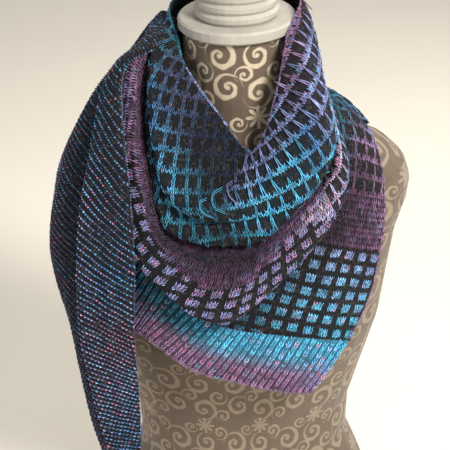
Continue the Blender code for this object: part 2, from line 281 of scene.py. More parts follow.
# Thin shell on the wall's outer side, with what the stitches need to be laid on it.
def makeSheet(name, settings, coarse, flat, colours, material):
    closed = settings["closed"]
    rows, columns = coarse.shape[:2]
    place = np.stack(np.meshgrid(np.arange(rows) / settings["along"],
                                 np.arange(columns) / settings["across"], indexing="ij"), axis=2)
    data = np.concatenate([coarse, flat, colours, place], axis=2)
    finer = settings["finer"]
    fine = loft(data, finer, finer)
    base, flat, colours, place = fine[..., :3], fine[..., 3:5], fine[..., 5:8], fine[..., 8:10]
    flat = unevenWork(flat, base, settings["uneven"])
    outward = outwardNormals(base, closed)
    relief = creaseRelief(base, settings["creases"])
    if "ribs" in settings:
        ribs = flat[..., 0] / settings["stitch"][0]
        relief = relief + settings["ribs"] * (0.5 + 0.5 * np.cos(2 * math.pi * (ribs - 0.5)))
    outer = base + outward * (settings["outer"] + relief)[..., None]
    inner = base + outward * (settings["inner"] + relief)[..., None]
    count = base.shape[0] * base.shape[1]
    index = np.arange(count).reshape(base.shape[:2])
    if closed:
        index[-1] = index[0]
    a, b, c, d = index[:-1, :-1], index[1:, :-1], index[1:, 1:], index[:-1, 1:]
    faces = [np.stack([a, d, c, b], -1).reshape(-1, 4),
             np.stack([a, b, c, d], -1).reshape(-1, 4) + count]
    sides = [(index[:, 0], False), (index[:, -1], True)]
    if not closed:
        sides += [(index[0], True), (index[-1], False)]
    for line, reverse in sides:
        rim = np.stack([line[:-1], line[1:], line[1:] + count, line[:-1] + count], -1)
        faces.append(rim[:, ::-1] if reverse else rim)
    points = np.concatenate([outer.reshape(-1, 3), inner.reshape(-1, 3)])
    units = flat / np.array(settings["stitch"])
    chart = np.concatenate([units.reshape(-1, 2)] * 2)
    # The sheet under the stitches is near black, darker than the black yarn: painted shade for the gaps
    # between the stitches, with a small share of the yarn colour on each face.
    black = linearColour("black") * settings["gapShadeBlack"]
    tint = np.concatenate([(black + colours * share).reshape(-1, 3)
                           for share in (settings["groundShare"], settings["insideShare"])])
    faces = np.concatenate(faces)
    if closed:
        last = np.arange(count - base.shape[1], count)  # the first row again
        used = np.setdiff1d(np.arange(2 * count), np.concatenate([last, last + count]))
        renumber = np.zeros(2 * count, dtype=int)
        renumber[used] = np.arange(len(used))
        points, chart, tint, faces = points[used], chart[used], tint[used], renumber[faces]
    shell = meshObject(name + "_sheet", points, faces, material, chart, tint)
    alongSteps, acrossSteps = np.diff(base, axis=0)[:, :-1], np.diff(base, axis=1)[:-1]
    area = np.linalg.norm(np.cross(alongSteps, acrossSteps), axis=2).sum() * mm * mm
    print(name, "sheet area", round(area, 4), "m2, triangles", 2 * len(faces))
    return {"object": shell, "outer": outer, "outward": outward, "units": units,
            "colours": colours, "place": place}


# Every whole stitch of the chart that falls on the sheet.
def stitchPlaces(sheet):
    units, outer = sheet["units"], sheet["outer"]
    alongUnits, acrossUnits = np.gradient(units, axis=0), np.gradient(units, axis=1)
    alongPoints, acrossPoints = np.gradient(outer, axis=0), np.gradient(outer, axis=1)
    area = alongUnits[..., 0] * acrossUnits[..., 1] - alongUnits[..., 1] * acrossUnits[..., 0]
    area = np.where(np.abs(area) < 1e-4, 1e-4, area)[..., None]
    wide = (alongPoints * acrossUnits[..., 1:] - acrossPoints * alongUnits[..., 1:]) / area
    tall = (acrossPoints * alongUnits[..., :1] - alongPoints * acrossUnits[..., :1]) / area
    values = np.concatenate([outer, sheet["outward"], wide, tall, sheet["colours"], sheet["place"]],
                            axis=2)
    values = values.reshape(-1, values.shape[2])
    triangles = gridTriangles(*units.shape[:2])
    corners = units.reshape(-1, 2)[triangles]
    low = np.floor(corners.min(axis=1) - 0.5).astype(int)
    span = np.ceil(corners.max(axis=1) - 0.5).astype(int) - low
    found, cells = [], []
    one, two = corners[:, 1] - corners[:, 0], corners[:, 2] - corners[:, 0]
    turned = one[:, 0] * two[:, 1] - one[:, 1] * two[:, 0]
    turned = np.where(np.abs(turned) < 1e-9, 1e-9, turned)
    for columnStep in range(min(int(span[:, 0].max()), 8) + 1):
        for rowStep in range(min(int(span[:, 1].max()), 8) + 1):
            cell = low + np.array([columnStep, rowStep])
            away = cell + 0.5 - corners[:, 0]
            second = (away[:, 0] * two[:, 1] - away[:, 1] * two[:, 0]) / turned
            third = (one[:, 0] * away[:, 1] - one[:, 1] * away[:, 0]) / turned
            inside = (second >= 0) & (third >= 0) & (second + third < 1)
            share = np.stack([1 - second - third, second, third], axis=1)[inside]
            found.append((values[triangles[inside]] * share[..., None]).sum(axis=1))
            cells.append(cell[inside])
    found, cells = np.concatenate(found), np.concatenate(cells)
    return {"at": found[:, 0:3], "out": found[:, 3:6], "wide": found[:, 6:9], "tall": found[:, 9:12],
            "colour": found[:, 12:15], "along": found[:, 15], "across": found[:, 16],
            "column": cells[:, 0], "row": cells[:, 1]}


def unit(vectors):
    return vectors / np.maximum(np.linalg.norm(vectors, axis=1, keepdims=True), 1e-9)


# A chain of stitches along an edge of the sheet. Edge: column, from, to, spacing, yarn name.
def edgePlaces(sheet, edge):
    column, first, last, spacing, yarn = edge
    chosen = (sheet["place"][:, column, 0] >= first) & (sheet["place"][:, column, 0] <= last)
    line, out = sheet["outer"][chosen, column], sheet["outward"][chosen, column]
    steps = np.linalg.norm(np.diff(line, axis=0), axis=1)
    reached = np.concatenate([[0.0], np.cumsum(steps)])
    wanted = np.arange(spacing / 2, reached[-1], spacing)
    along, at, out = (
        np.stack([np.interp(wanted, reached, values[:, axis]) for axis in range(3)], axis=1)
        for values in (np.gradient(line, axis=0), line, out))
    along, out = unit(along) * spacing, unit(out)
    count = len(wanted)
    return {"at": at, "out": out, "tall": along, "wide": np.cross(along, out),
            "colour": np.tile(linearColour(yarn), (count, 1)), "along": wanted,
            "across": np.zeros(count), "column": np.arange(count), "row": np.zeros(count, dtype=int)}


# The chart's stitches as points with turn, size and yarn colour, made solid by the stitch nodes.
def layStitches(name, sheet, settings, chart, pattern):
    places = stitchPlaces(sheet)
    dice = np.random.default_rng(settings["seed"])
    share, wideBy, tallBy, lift, keep = chart(places, dice)
    keep = keep & (tallBy != 0)
    places = {key: value[keep] for key, value in places.items()}
    share, wideBy, tallBy, lift = share[keep], wideBy[keep], tallBy[keep], lift[keep]
    for edge in settings["edges"]:
        chain = edgePlaces(sheet, edge)
        places = {key: np.concatenate([value, chain[key]]) for key, value in places.items()}
        more = np.ones(len(chain["row"]))
        share = np.concatenate([share, more])
        lift = np.concatenate([lift, handwork["edgeLift"] * more])
        wideBy = np.concatenate([wideBy, handwork["edgeWide"] * more])
        tallBy = np.concatenate([tallBy, more])
    count = len(share)
    out, grow = unit(places["out"]), places["tall"] * np.sign(tallBy)[:, None]
    tallBy = np.abs(tallBy)
    grow = grow - out * (grow * out).sum(axis=1, keepdims=True)
    chartWide, chartTall = settings["stitch"]
    tall = np.clip(np.linalg.norm(grow, axis=1),
                   handwork["shortest"] * chartTall, handwork["tallest"] * chartTall)
    wide = np.clip(np.linalg.norm(places["wide"], axis=1),
                   handwork["shortest"] * chartWide, handwork["widest"] * chartWide)
    grow = unit(grow)
    level = np.cross(grow, out)
    turn = np.stack([np.arctan2(grow[:, 2], out[:, 2]), np.arcsin(np.clip(-level[:, 2], -1, 1)),
                     np.arctan2(level[:, 1], level[:, 0])], axis=1)
    size = np.stack([wide * wideBy, tall * tallBy, np.full(count, settings["yarn"])], axis=1)
    at = places["at"] + out * lift[:, None] + dice.normal(0, handwork["shift"], (count, 3))
    turn = turn + dice.normal(0, handwork["turn"], (count, 3))
    black = linearColour("black") * dice.uniform(*handwork["black"], (count, 1))
    flecked = dice.random((count, 1)) < handwork["flecked"]
    black = np.where(flecked, linearColour("grey"), black)
    accents = np.array([linearColour(word) for word in settings["accents"]])
    rowStep, rowReach = handwork["rowDice"]
    rowDice = np.modf(np.abs(np.sin((places["row"] + settings["seed"]) * rowStep) * rowReach))[0]
    runs = 0.5 + 0.5 * np.sin(places["column"] * handwork["runLength"] + rowDice * 2 * math.pi)
    byRow = dice.random(count) < settings["rowRuns"]
    chosen = np.where(byRow, rowDice * len(accents), dice.uniform(0, len(accents), count))
    accent = accents[chosen.astype(int)]
    evenness = settings["evenness"]
    accent = accent * ((places["colour"] @ daylight) / (accent @ daylight))[:, None] ** evenness
    leastRun, moreRun = handwork["runShare"]
    mixed = dice.random(count) < settings["accentShare"] * (leastRun + moreRun * runs)
    blend = (1 - handwork["accentMix"]) * places["colour"] + handwork["accentMix"] * accent
    bright = np.where(mixed[:, None], blend, places["colour"])
    rowShade = 1 + handwork["rowShade"] * (rowDice - 0.5)
    bright = bright * (dice.uniform(*handwork["shade"], count) * rowShade)[:, None]
    colour = black + (bright - black) * share[:, None]
    mesh = bpy.data.meshes.new(name + "_places")
    mesh.from_pydata([tuple(p) for p in at * mm], [], [])
    yarn = np.concatenate([colour, np.ones((count, 1))], axis=1)
    for word, kind, key, data in (("turn", "FLOAT_VECTOR", "vector", turn),
                                  ("size", "FLOAT_VECTOR", "vector", size * mm),
                                  ("yarn", "FLOAT_COLOR", "color", yarn)):
        values = mesh.attributes.new(word, kind, "POINT").data
        values.foreach_set(key, np.ascontiguousarray(data).ravel())
    item = bpy.data.objects.new(name + "_stitches", mesh)
    bpy.context.scene.collection.objects.link(item)
    modifier = item.modifiers.new("stitches", "NODES")
    modifier.node_group = stitchNodes
    given = {"Stitch": pattern, "Wool": stitchWool, "Unevenness": handwork["unevenness"],
             "Seed": settings["seed"], "Hair": hairShape, "Hair Share": settings["hair"]}
    for socket in stitchNodes.interface.items_tree:
        if socket.name in given:
            modifier[socket.identifier] = given[socket.name]
    bpy.context.view_layer.update()
    solid = bpy.data.meshes.new_from_object(item.evaluated_get(bpy.context.evaluated_depsgraph_get()))
    item.modifiers.clear()
    item.data = solid
    print(name, "stitches", count, "triangles", sum(len(face.vertices) - 2 for face in solid.polygons))
    return item


def liveOutput(node):
    return next(socket for socket in node.outputs if socket.enabled)


# Node group that sets one stitch on every point and makes them one solid mesh.
def makeStitchNodes():
    tree = bpy.data.node_groups.new("stitches on points", "GeometryNodeTree")
    for word, kind in (("Geometry", "Geometry"), ("Stitch", "Object"), ("Wool", "Material"),
                       ("Unevenness", "Float"), ("Seed", "Int"), ("Hair", "Object"),
                       ("Hair Share", "Float")):
        tree.interface.new_socket(word, in_out="INPUT", socket_type="NodeSocket" + kind)
    tree.interface.new_socket("Geometry", in_out="OUTPUT", socket_type="NodeSocketGeometry")
    nodes, links = tree.nodes, tree.links
    start, end = nodes.new("NodeGroupInput"), nodes.new("NodeGroupOutput")
    info = nodes.new("GeometryNodeObjectInfo")
    turn, size = (nodes.new("GeometryNodeInputNamedAttribute") for _ in range(2))
    for node, word in ((turn, "turn"), (size, "size")):
        node.data_type = "FLOAT_VECTOR"
        node.inputs["Name"].default_value = word
    low, high = nodes.new("ShaderNodeMath"), nodes.new("ShaderNodeMath")
    low.operation, high.operation = "SUBTRACT", "ADD"
    uneven = nodes.new("FunctionNodeRandomValue")
    uneven.data_type = "FLOAT"
    scaled = nodes.new("ShaderNodeVectorMath")
    scaled.operation = "SCALE"
    rotation = nodes.new("FunctionNodeEulerToRotation")
    instances = nodes.new("GeometryNodeInstanceOnPoints")
    realize, paint = nodes.new("GeometryNodeRealizeInstances"), nodes.new("GeometryNodeSetMaterial")
    low.inputs[0].default_value = high.inputs[0].default_value = 1.0
    links.new(start.outputs["Unevenness"], low.inputs[1])
    links.new(start.outputs["Unevenness"], high.inputs[1])
    floats = [socket for socket in uneven.inputs if socket.type == "VALUE" and socket.enabled]
    links.new(low.outputs[0], floats[0])
    links.new(high.outputs[0], floats[1])
    links.new(start.outputs["Seed"], uneven.inputs["Seed"])
    links.new(size.outputs["Attribute"], scaled.inputs[0])
    links.new(liveOutput(uneven), scaled.inputs["Scale"])
    links.new(turn.outputs["Attribute"], rotation.inputs[0])
    links.new(start.outputs["Geometry"], instances.inputs["Points"])
    links.new(start.outputs["Stitch"], info.inputs["Object"])
    links.new(info.outputs["Geometry"], instances.inputs["Instance"])
    links.new(rotation.outputs[0], instances.inputs["Rotation"])
    links.new(scaled.outputs["Vector"], instances.inputs["Scale"])
    # a share of the stitches also gets a hair, swung its own way
    hair, hairs = nodes.new("GeometryNodeObjectInfo"), nodes.new("GeometryNodeInstanceOnPoints")
    chosen, swung = nodes.new("FunctionNodeRandomValue"), nodes.new("FunctionNodeRandomValue")
    chosen.data_type, swung.data_type = "BOOLEAN", "FLOAT_VECTOR"
    swung.inputs[0].default_value = [-angle for angle in handwork["hairSwing"]]
    swung.inputs[1].default_value = handwork["hairSwing"]
    both, own = nodes.new("GeometryNodeJoinGeometry"), nodes.new("FunctionNodeRotateRotation")
    swing = nodes.new("FunctionNodeEulerToRotation")
    own.rotation_space = "LOCAL"
    links.new(start.outputs["Hair"], hair.inputs["Object"])
    links.new(start.outputs["Hair Share"], chosen.inputs["Probability"])
    links.new(start.outputs["Seed"], chosen.inputs["Seed"])
    links.new(start.outputs["Seed"], swung.inputs["Seed"])
    links.new(liveOutput(swung), swing.inputs[0])
    links.new(rotation.outputs[0], own.inputs[0])
    links.new(swing.outputs[0], own.inputs[1])
    links.new(start.outputs["Geometry"], hairs.inputs["Points"])
    links.new(liveOutput(chosen), hairs.inputs["Selection"])
    links.new(hair.outputs["Geometry"], hairs.inputs["Instance"])
    links.new(own.outputs[0], hairs.inputs["Rotation"])
    links.new(hairs.outputs["Instances"], both.inputs[0])
    links.new(instances.outputs["Instances"], both.inputs[0])
    links.new(both.outputs[0], realize.inputs["Geometry"])
    links.new(realize.outputs["Geometry"], paint.inputs["Geometry"])
    links.new(start.outputs["Wool"], paint.inputs["Material"])
    links.new(paint.outputs["Geometry"], end.inputs["Geometry"])
    return tree


# Points and faces of a short closed strand of yarn along a path.
def strand(path, radii, sides=3):
    path = np.array(path, float)
    run = np.gradient(path, axis=0)
    run /= np.linalg.norm(run, axis=1, keepdims=True)
    sideways = np.cross(run, (0, 0, 1.0))
    sideways /= np.linalg.norm(sideways, axis=1, keepdims=True)
    over = np.cross(sideways, run)
    points, faces = [], []
    for centre, side, up, (wide, high) in zip(path, sideways, over, radii):
        for step in range(sides):
            angle = 2 * math.pi * (step + 0.25) / sides
            points.append(centre + side * wide * math.cos(angle) + up * high * math.sin(angle))
    for ring in range(len(path) - 1):
        for step in range(sides):
            after = (step + 1) % sides
            a, b = ring * sides + step, ring * sides + after
            faces.append((a, a + sides, b + sides, b))
    faces.append(tuple(range(sides)))
    faces.append(tuple(range(len(points) - 1, len(points) - sides - 1, -1)))
    return points, faces


def stitchShape(name, strands):
    points, faces = [], []
    for path, radii, sides in strands:
        more, moreFaces = strand(path, radii, sides)
        faces += [tuple(corner + len(points) for corner in face) for face in moreFaces]
        points += more
    shape = meshObject(name, np.array(points) / mm, faces, None)
    shape.hide_render = True
    return shape


# Short words for building a material or a shader group.
class Nodes:
    def __init__(self, tree):
        self.tree = tree

    def add(self, kind, **values):
        node = self.tree.nodes.new(kind)
        for key, value in values.items():
            setattr(node, key, value)
        return node

    def join(self, source, target):
        self.tree.links.new(source, target)

    def math(self, operation, *values):
        node = self.add("ShaderNodeMath", operation=operation)
        for socket, value in zip(node.inputs, values):
            if isinstance(value, (int, float)):
                socket.default_value = value
            else:
                self.join(value, socket)
        return node.outputs[0]


def newMaterial(name):
    material = bpy.data.materials.new(name)
    material.use_nodes = True
    nodes = Nodes(material.node_tree)
    return material, nodes, material.node_tree.nodes["Principled BSDF"]


# The value moved from one range to another: the ranges as from, to, and from, to.
def ranged(nodes, value, *ranges, **kind):
    node = nodes.add("ShaderNodeMapRange", **kind)
    for socket, number in zip(("From Min", "From Max", "To Min", "To Max"), ranges):
        node.inputs[socket].default_value = number
    nodes.join(value, node.inputs["Value"])
    return node.outputs[0]


# Two colours mixed by a fine noise: the noise and the colour.
def clouded(nodes, scale, first, second):
    place, noise = nodes.add("ShaderNodeTexCoord"), nodes.add("ShaderNodeTexNoise")
    noise.inputs["Scale"].default_value = scale
    nodes.join(place.outputs["Object"], noise.inputs["Vector"])
    tone = nodes.add("ShaderNodeMix", data_type="RGBA")
    tone.inputs[6].default_value = (*linear(first), 1.0)
    tone.inputs[7].default_value = (*linear(second), 1.0)
    nodes.join(noise.outputs["Fac"], tone.inputs[0])
    return noise.outputs["Fac"], tone.outputs[2]


def raised(nodes, shader, height, strength, distance):
    bump = nodes.add("ShaderNodeBump")
    bump.inputs["Strength"].default_value, bump.inputs["Distance"].default_value = strength, distance
    nodes.join(height, bump.inputs["Height"])
    nodes.join(bump.outputs[0], shader.inputs["Normal"])


def finished(shader, finish):
    for socket, value in finish.items():
        shader.inputs[socket].default_value = value


# Shared effect of spun yarn: colour broken by fibres, and the height of its plies.
def woolGroup():
    tree = bpy.data.node_groups.new("spun wool", "ShaderNodeTree")
    tree.interface.new_socket("Yarn", in_out="INPUT", socket_type="NodeSocketColor")
    tree.interface.new_socket("Fibre Size", in_out="INPUT", socket_type="NodeSocketFloat")
    tree.interface.new_socket("Base Color", in_out="OUTPUT", socket_type="NodeSocketColor")
    tree.interface.new_socket("Bump Height", in_out="OUTPUT", socket_type="NodeSocketFloat")
    nodes = Nodes(tree)
    start, end = nodes.add("NodeGroupInput"), nodes.add("NodeGroupOutput")
    place = nodes.add("ShaderNodeTexCoord")
    fibres = nodes.add("ShaderNodeTexNoise")
    fibres.inputs["Detail"].default_value = 3.0
    nodes.join(place.outputs["Object"], fibres.inputs["Vector"])
    nodes.join(start.outputs["Fibre Size"], fibres.inputs["Scale"])
    tint = nodes.add("ShaderNodeVectorMath", operation="SCALE")
    nodes.join(start.outputs["Yarn"], tint.inputs[0])
    nodes.join(ranged(nodes, fibres.outputs["Fac"], 0.3, 0.7, 0.5, 1.6), tint.inputs["Scale"])
    nodes.join(tint.outputs[0], end.inputs["Base Color"])
    nodes.join(fibres.outputs["Fac"], end.inputs["Bump Height"])
    return tree


def woolMaterial(name, settings):
    material, nodes, shader = newMaterial(name)
    yarn = nodes.add("ShaderNodeAttribute", attribute_name="yarn")
    wool = nodes.add("ShaderNodeGroup")
    wool.node_tree = spunWool
    wool.inputs["Fibre Size"].default_value = settings["fibre"]
    colour = yarn.outputs["Color"]
    if "stripe" in settings:
        chart = nodes.add("ShaderNodeUVMap", uv_map="chart")
        split = nodes.add("ShaderNodeSeparateXYZ")
        striped = nodes.add("ShaderNodeMix", data_type="RGBA")
        nodes.join(chart.outputs[0], split.inputs[0])
        row = nodes.math("FLOORED_MODULO", split.outputs["Y"], 2.0 * settings["stripe"])
        nodes.join(nodes.math("LESS_THAN", row, settings["stripe"]), striped.inputs[0])
        striped.inputs[6].default_value = (*linearColour("black"), 1.0)
        nodes.join(colour, striped.inputs[7])
        colour = striped.outputs[2]
    nodes.join(colour, wool.inputs["Yarn"])
    nodes.join(wool.outputs["Base Color"], shader.inputs["Base Color"])
    raised(nodes, shader, wool.outputs["Bump Height"], *settings["bump"])
    finished(shader, settings["finish"])
    return material


stitchNodes = makeStitchNodes()
spunWool = woolGroup()
legRadii = [(0.06, 0.12), (0.165, 0.32), (0.07, 0.12)]
vee = stitchShape("knit stitch", [
    ([(0.05, -0.68, -0.14), (0.24, -0.04, 0.12), (0.41, 0.62, -0.12)], legRadii, 3),
    ([(-0.05, -0.68, -0.14), (-0.24, -0.04, 0.12), (-0.41, 0.62, -0.12)], legRadii, 3)])
bead = stitchShape("purl bump", [
    ([(-0.46, -0.16, -0.1), (0.0, 0.14, 0.16), (0.46, -0.16, -0.1)],
     [(0.14, 0.16), (0.30, 0.36), (0.14, 0.16)], 4)])
hairShape = stitchShape("loose hair", [
    ([(0.0, 0.0, 0.0003), (0.0005, 0.0012, 0.0013), (0.0014, 0.0017, 0.0019)],
     [(0.00005, 0.00005), (0.00004, 0.00004), (0.00002, 0.00002)], 3)])
# Bumps: strength and depth in metres; the stripe is as wide as that many rows
strandLook = {
    "fibre": 1400.0, "bump": (0.6, 0.0006),
    "finish": {"Roughness": 0.9, "Sheen Weight": 0.08, "Sheen Roughness": 0.5, "Specular IOR Level": 0.25},
}
groundLook = {
    "fibre": 1500.0, "bump": (0.8, 0.0006),
    "finish": {"Roughness": 0.95, "Sheen Weight": 0.04, "Sheen Roughness": 0.5, "Specular IOR Level": 0.25},
}
stitchWool = woolMaterial("stitch wool", strandLook)
groundWool = woolMaterial("ground wool", groundLook)
stripedWool = woolMaterial("striped ground wool", dict(groundLook, stripe=1.0))
print("stitch shapes and wool ready")


# Colours between the charted yarn names, on the same grid as the sheet.
def colourGrid(rows, closed, along, columns):
    named = np.array([[linearColour(word) for word in row] for row in rows])
    if closed:
        named = np.concatenate([named, named[:1]])
    fineRows = np.linspace(0, len(named) - 1, (len(named) - 1) * along + 1)
    fineColumns = np.linspace(0, named.shape[1] - 1, columns)
    a, b = np.floor(fineRows).astype(int), np.ceil(fineRows).astype(int)
    mixed = named[a] + (named[b] - named[a]) * (fineRows - a)[:, None, None]
    a, b = np.floor(fineColumns).astype(int), np.ceil(fineColumns).astype(int)
    return mixed[:, a] + (mixed[:, b] - mixed[:, a]) * (fineColumns - a)[None, :, None]


# Net of coloured bands and bars over black; stretched bars are long strands, forked downwards.
def latticeParts(places, strands=(0.0, math.inf), singleUpTo=0.0):
    column, row = places["column"] % 4, places["row"] % 6
    band = (row == 0) | ((row == 1) & (column != 2))
    bar = (column == 0) & ~band
    stretched = (places["along"] > strands[0]) & (places["along"] < strands[1])
    single = stretched & (places["across"] < singleUpTo)
    one = bar & single & (row == 3)
    two = bar & stretched & ~single & ((row == 2) | (row == 4))
    share = (band | (bar & ~stretched) | one | two).astype(float)
    wide = np.select([one, two, bar], [1.15, 1.0, 1.2], 1.05)
    tall = np.select([one, two], [-4.2, -2.4], 1.05)  # below nought: upside down
    lift = np.select([one, two], [1.1, 0.9], np.where(share > 0, 0.6, -0.2))
    return share, wide, tall, lift


# Blocks of coloured stitches, three by three, set on black.
def squareParts(places):
    row = places["row"] % 5
    block = (places["column"] % 5 < 3) & (row > 0) & (row < 4)
    share = block.astype(float)
    return share, np.where(block, 1.1, 1.0), np.where(block, 1.06, 1.0), np.where(block, 0.25, -0.05)


# Plain knit in stitches that are a number of rows long, a share of them darker.
def plainParts(places, dice, rowsEach=2, darker=0.2):
    count = len(places["row"])
    worked = places["row"] % rowsEach == 0
    share = np.where(dice.random(count) < darker, 0.35, 1.0)
    return share, np.full(count, 1.05), np.where(worked, float(rowsEach), 0.0), np.full(count, 0.2)


def pick(choice, first, second):
    return tuple(np.where(choice, a, b) for a, b in zip(first, second))


# The lattice cowl round the neck. All its tables are in millimetres.
cowl = {
    **usual, "closed": True, "stitch": (2.95, 2.95), "seed": 11, "lean": -9, "region": (12, 30),
    "accents": ("lavender", "blue", "cyan"), "accentShare": 0.18, "groundShare": 0.03,
    "tuck": 11.0, "strands": (7.4, 13.2), "singleUpTo": 2.3, "worked": 4.8,
    "edges": ((0, 0.0, 3.2, 2.8, "teal"), (0, 3.2, 5.6, 2.6, "lavender"), (0, 5.6, 7.6, 2.6, "slate"),
              (0, 8.4, 16.0, 2.8, "mauve")),
    "creases": (
        ((12, -98, 496), (-34, -130, 456), 4.2, 7), ((-14, -94, 492), (-50, -124, 466), -3.6, 7),
        ((-20, -136, 440), (10, -138, 440), -3.0, 6),
        ((-50, -60, 560), (-66, -100, 500), 1.6, 7), ((-30, -80, 545), (-44, -108, 490), -1.4, 6),
        ((20, -100, 500), (58, -100, 520), 1.5, 7), ((40, -100, 500), (72, -90, 530), -1.3, 6),
        ((-40, 58, 590), (30, 66, 585), 1.5, 6), ((-20, 66, 575), (50, 60, 585), -1.2, 6)),
    "loopYarn": 0.27, "loopLift": 0.7, "loopRise": 1.2, "loopSpread": 0.1, "loopShade": 0.7,
    "loops": (  # where the V closes: yarn, then the places that each runs through
        ("cyan",
         (-39, -122, 464), (-45, -125, 462), (-45, -129, 457), (-41, -132, 453), (-34, -134, 451)),
        ("cyan",
         (-24, -114, 470), (-32, -118, 467), (-34, -124, 462), (-31, -131, 458), (-22, -133, 454)),
        ("lavender",
         (-14, -110, 474), (-19, -113, 471), (-18, -122, 466), (-14, -127, 463), (-7, -133, 459)),
        ("lavender",
         (0, -101, 489), (-3, -106, 485), (0, -115, 479), (2, -123, 474), (3, -130, 468)),
    ),
}
# Columns: place round the neck, neck edge, first lip, second lip, slope's rise, hollow between the lips
cowlSections = (
    ("left back", (-44, 42, 600), (-51, 48, 585), (-56, 54, 566), 1, 2),
    ("left shoulder", (-62, 13, 603), (-67, 14, 585), (-71, 14, 566), 1, 2),
    ("left collar", (-58, -22, 581), (-69, -20, 586), (-75, -22, 562), 0, 4),
    ("left neck", (-54, -44, 569), (-83, -44, 573), (-87, -50, 546), -3, 6),
    ("left side", (-40, -62, 548), (-85, -86, 531), (-89, -88, 500), -3, 7),
    ("left low", (-24, -75, 528), (-76, -116, 480), (-79, -120, 441), -2, 9),
    ("middle", (-10, -84, 508), (-52, -128, 456), (-46, -136, 428), 0, 11),
    ("crease", (0, -89, 497), (-34, -131, 452), (-24, -140, 427), -5, 13),
    ("centre", (9, -91, 495), (-3, -131, 460), (9, -139, 429), 3, 9),
    ("right low", (20, -86, 511), (35, -124, 495), (44, -129, 456), 5, -3),
    ("right rise", (29, -78, 538), (52, -110, 524), (70, -113, 480), 5, -5),
    ("right side", (36, -69, 562), (60, -94, 548), (82, -94, 508), 4, -5),
    ("right neck", (45, -44, 592), (60, -53, 582), (76, -62, 541), 3, -4),
    ("right shoulder", (60, -4, 608), (65, -6, 602), (69, -6, 574), 1, -2),
    ("right back", (45, 42, 604), (52, 50, 594), (58, 55, 572), 1, 2),
    ("back", (0, 60, 594), (0, 72, 586), (0, 78, 562), 1, 3),
)
# Yarn at the neck edge, first lip, second lip and tuck, for the same places. The dark yarns (ink, plum,
# deep teal) in the hollow by the V and at the tuck are partly painted shade.
cowlColours = (
    ("slate", "teal", "blue", "plum"),
    ("teal", "teal", "ink", "ink"),
    ("teal", "teal", "ink", "ink"),
    ("slate", "teal", "teal", "ink"),
    ("slate", "blue", "teal", "ink"),
    ("ink", "cyan", "teal", "ink"),
    ("ink", "teal", "teal", "plum"),
    ("ink", "deep teal", "deep teal", "deep teal"),
    ("lavender", "cyan", "teal", "deep teal"),
    ("lavender", "cyan", "cyan", "teal"),
    ("lavender", "blue", "cyan", "teal"),
    ("mauve", "lavender", "cyan", "teal"),
    ("mauve", "lavender", "lavender", "purple"),
    ("rose", "slate", "blue", "purple"),
    ("slate", "slate", "mauve", "purple"),
    ("teal", "blue", "slate", "ink"),
)


def buildCowl():
    profiles = []
    for _, edge, lip, low, rise, hollow in cowlSections:
        slope = awayFromNeck(edge, lip, 0) + np.array([0.0, 0.0, rise])
        between = awayFromNeck(lip, low, -hollow)
        profiles.append([edge, slope, lip, between, low, tucked(low, cowl["tuck"], 0)])
    coarse = loft(profiles, cowl["along"], cowl["across"], True)
    flat = turnedFlat(laidFlat(coarse), coarse[..., 2], cowl["region"], cowl["lean"])
    yarnRows = [(a, a, b, b, c, d) for a, b, c, d in cowlColours]
    colours = colourGrid(yarnRows, True, cowl["along"], coarse.shape[1])
    sheet = makeSheet("cowl", cowl, coarse, flat, colours, groundWool)

    def chart(places, _):
        share, wide, tall, lift = latticeParts(places, cowl["strands"], cowl["singleUpTo"])
        return share, wide, tall, lift, places["across"] < cowl["worked"]

    stitches = layStitches("cowl", sheet, cowl, chart, vee)
    return sheet["object"], stitches, looseLoops()


# A few double loops of yarn lying on the cowl.
def looseLoops():
    points, faces, colours = [], [], []
    for yarn, *places in cowl["loops"]:
        places = np.array(places, float)
        middle = places.mean(axis=0)
        for spread in (-cowl["loopSpread"], cowl["loopSpread"]):
            path = smoothCurve(middle + (places - middle) * (1 + spread), 5)
            share = np.linspace(0, 1, len(path))[:, None]
            lift = cowl["loopLift"] + cowl["loopRise"] * np.sin(math.pi * share)
            path += lift * np.array([0, -0.7, 0.7])
            more, moreFaces = strand(path, [(cowl["loopYarn"], cowl["loopYarn"])] * len(path), 5)
            faces += [tuple(corner + len(points) for corner in face) for face in moreFaces]
            points += more
            colours += [linearColour(yarn) * cowl["loopShade"]] * len(more)
    print("cowl loops", len(cowl["loops"]), "faces", len(faces))
    return meshObject("cowl_loops", points, faces, stitchWool, colours=np.array(colours))


# The roll that hangs from under the cowl, all round
fold = {
    **usual, "closed": True, "stitch": (3.1, 2.55), "seed": 23,
    "accents": ("rose", "lavender", "pink", "mauve"), "accentShare": 0.4,
    "squares": (2.8, 9.8), "squaresFrom": ((3.2, 3.5, 4.5, 6.0), (9.0, 3.7, 2.6, 3.1)),
    "net": (10.2, 14.5), "paler": 0.65, "worked": (0.6, 4.8), "under": (8.0, 5.0),
    "creases": (
        ((-100, -118, 480), (-60, -146, 400), 1.5, 8), ((-20, -150, 400), (50, -144, 440), -1.4, 7),
        ((10, -150, 380), (60, -138, 430), 1.4, 7), ((-50, 72, 548), (40, 84, 545), 1.5, 6)),
}
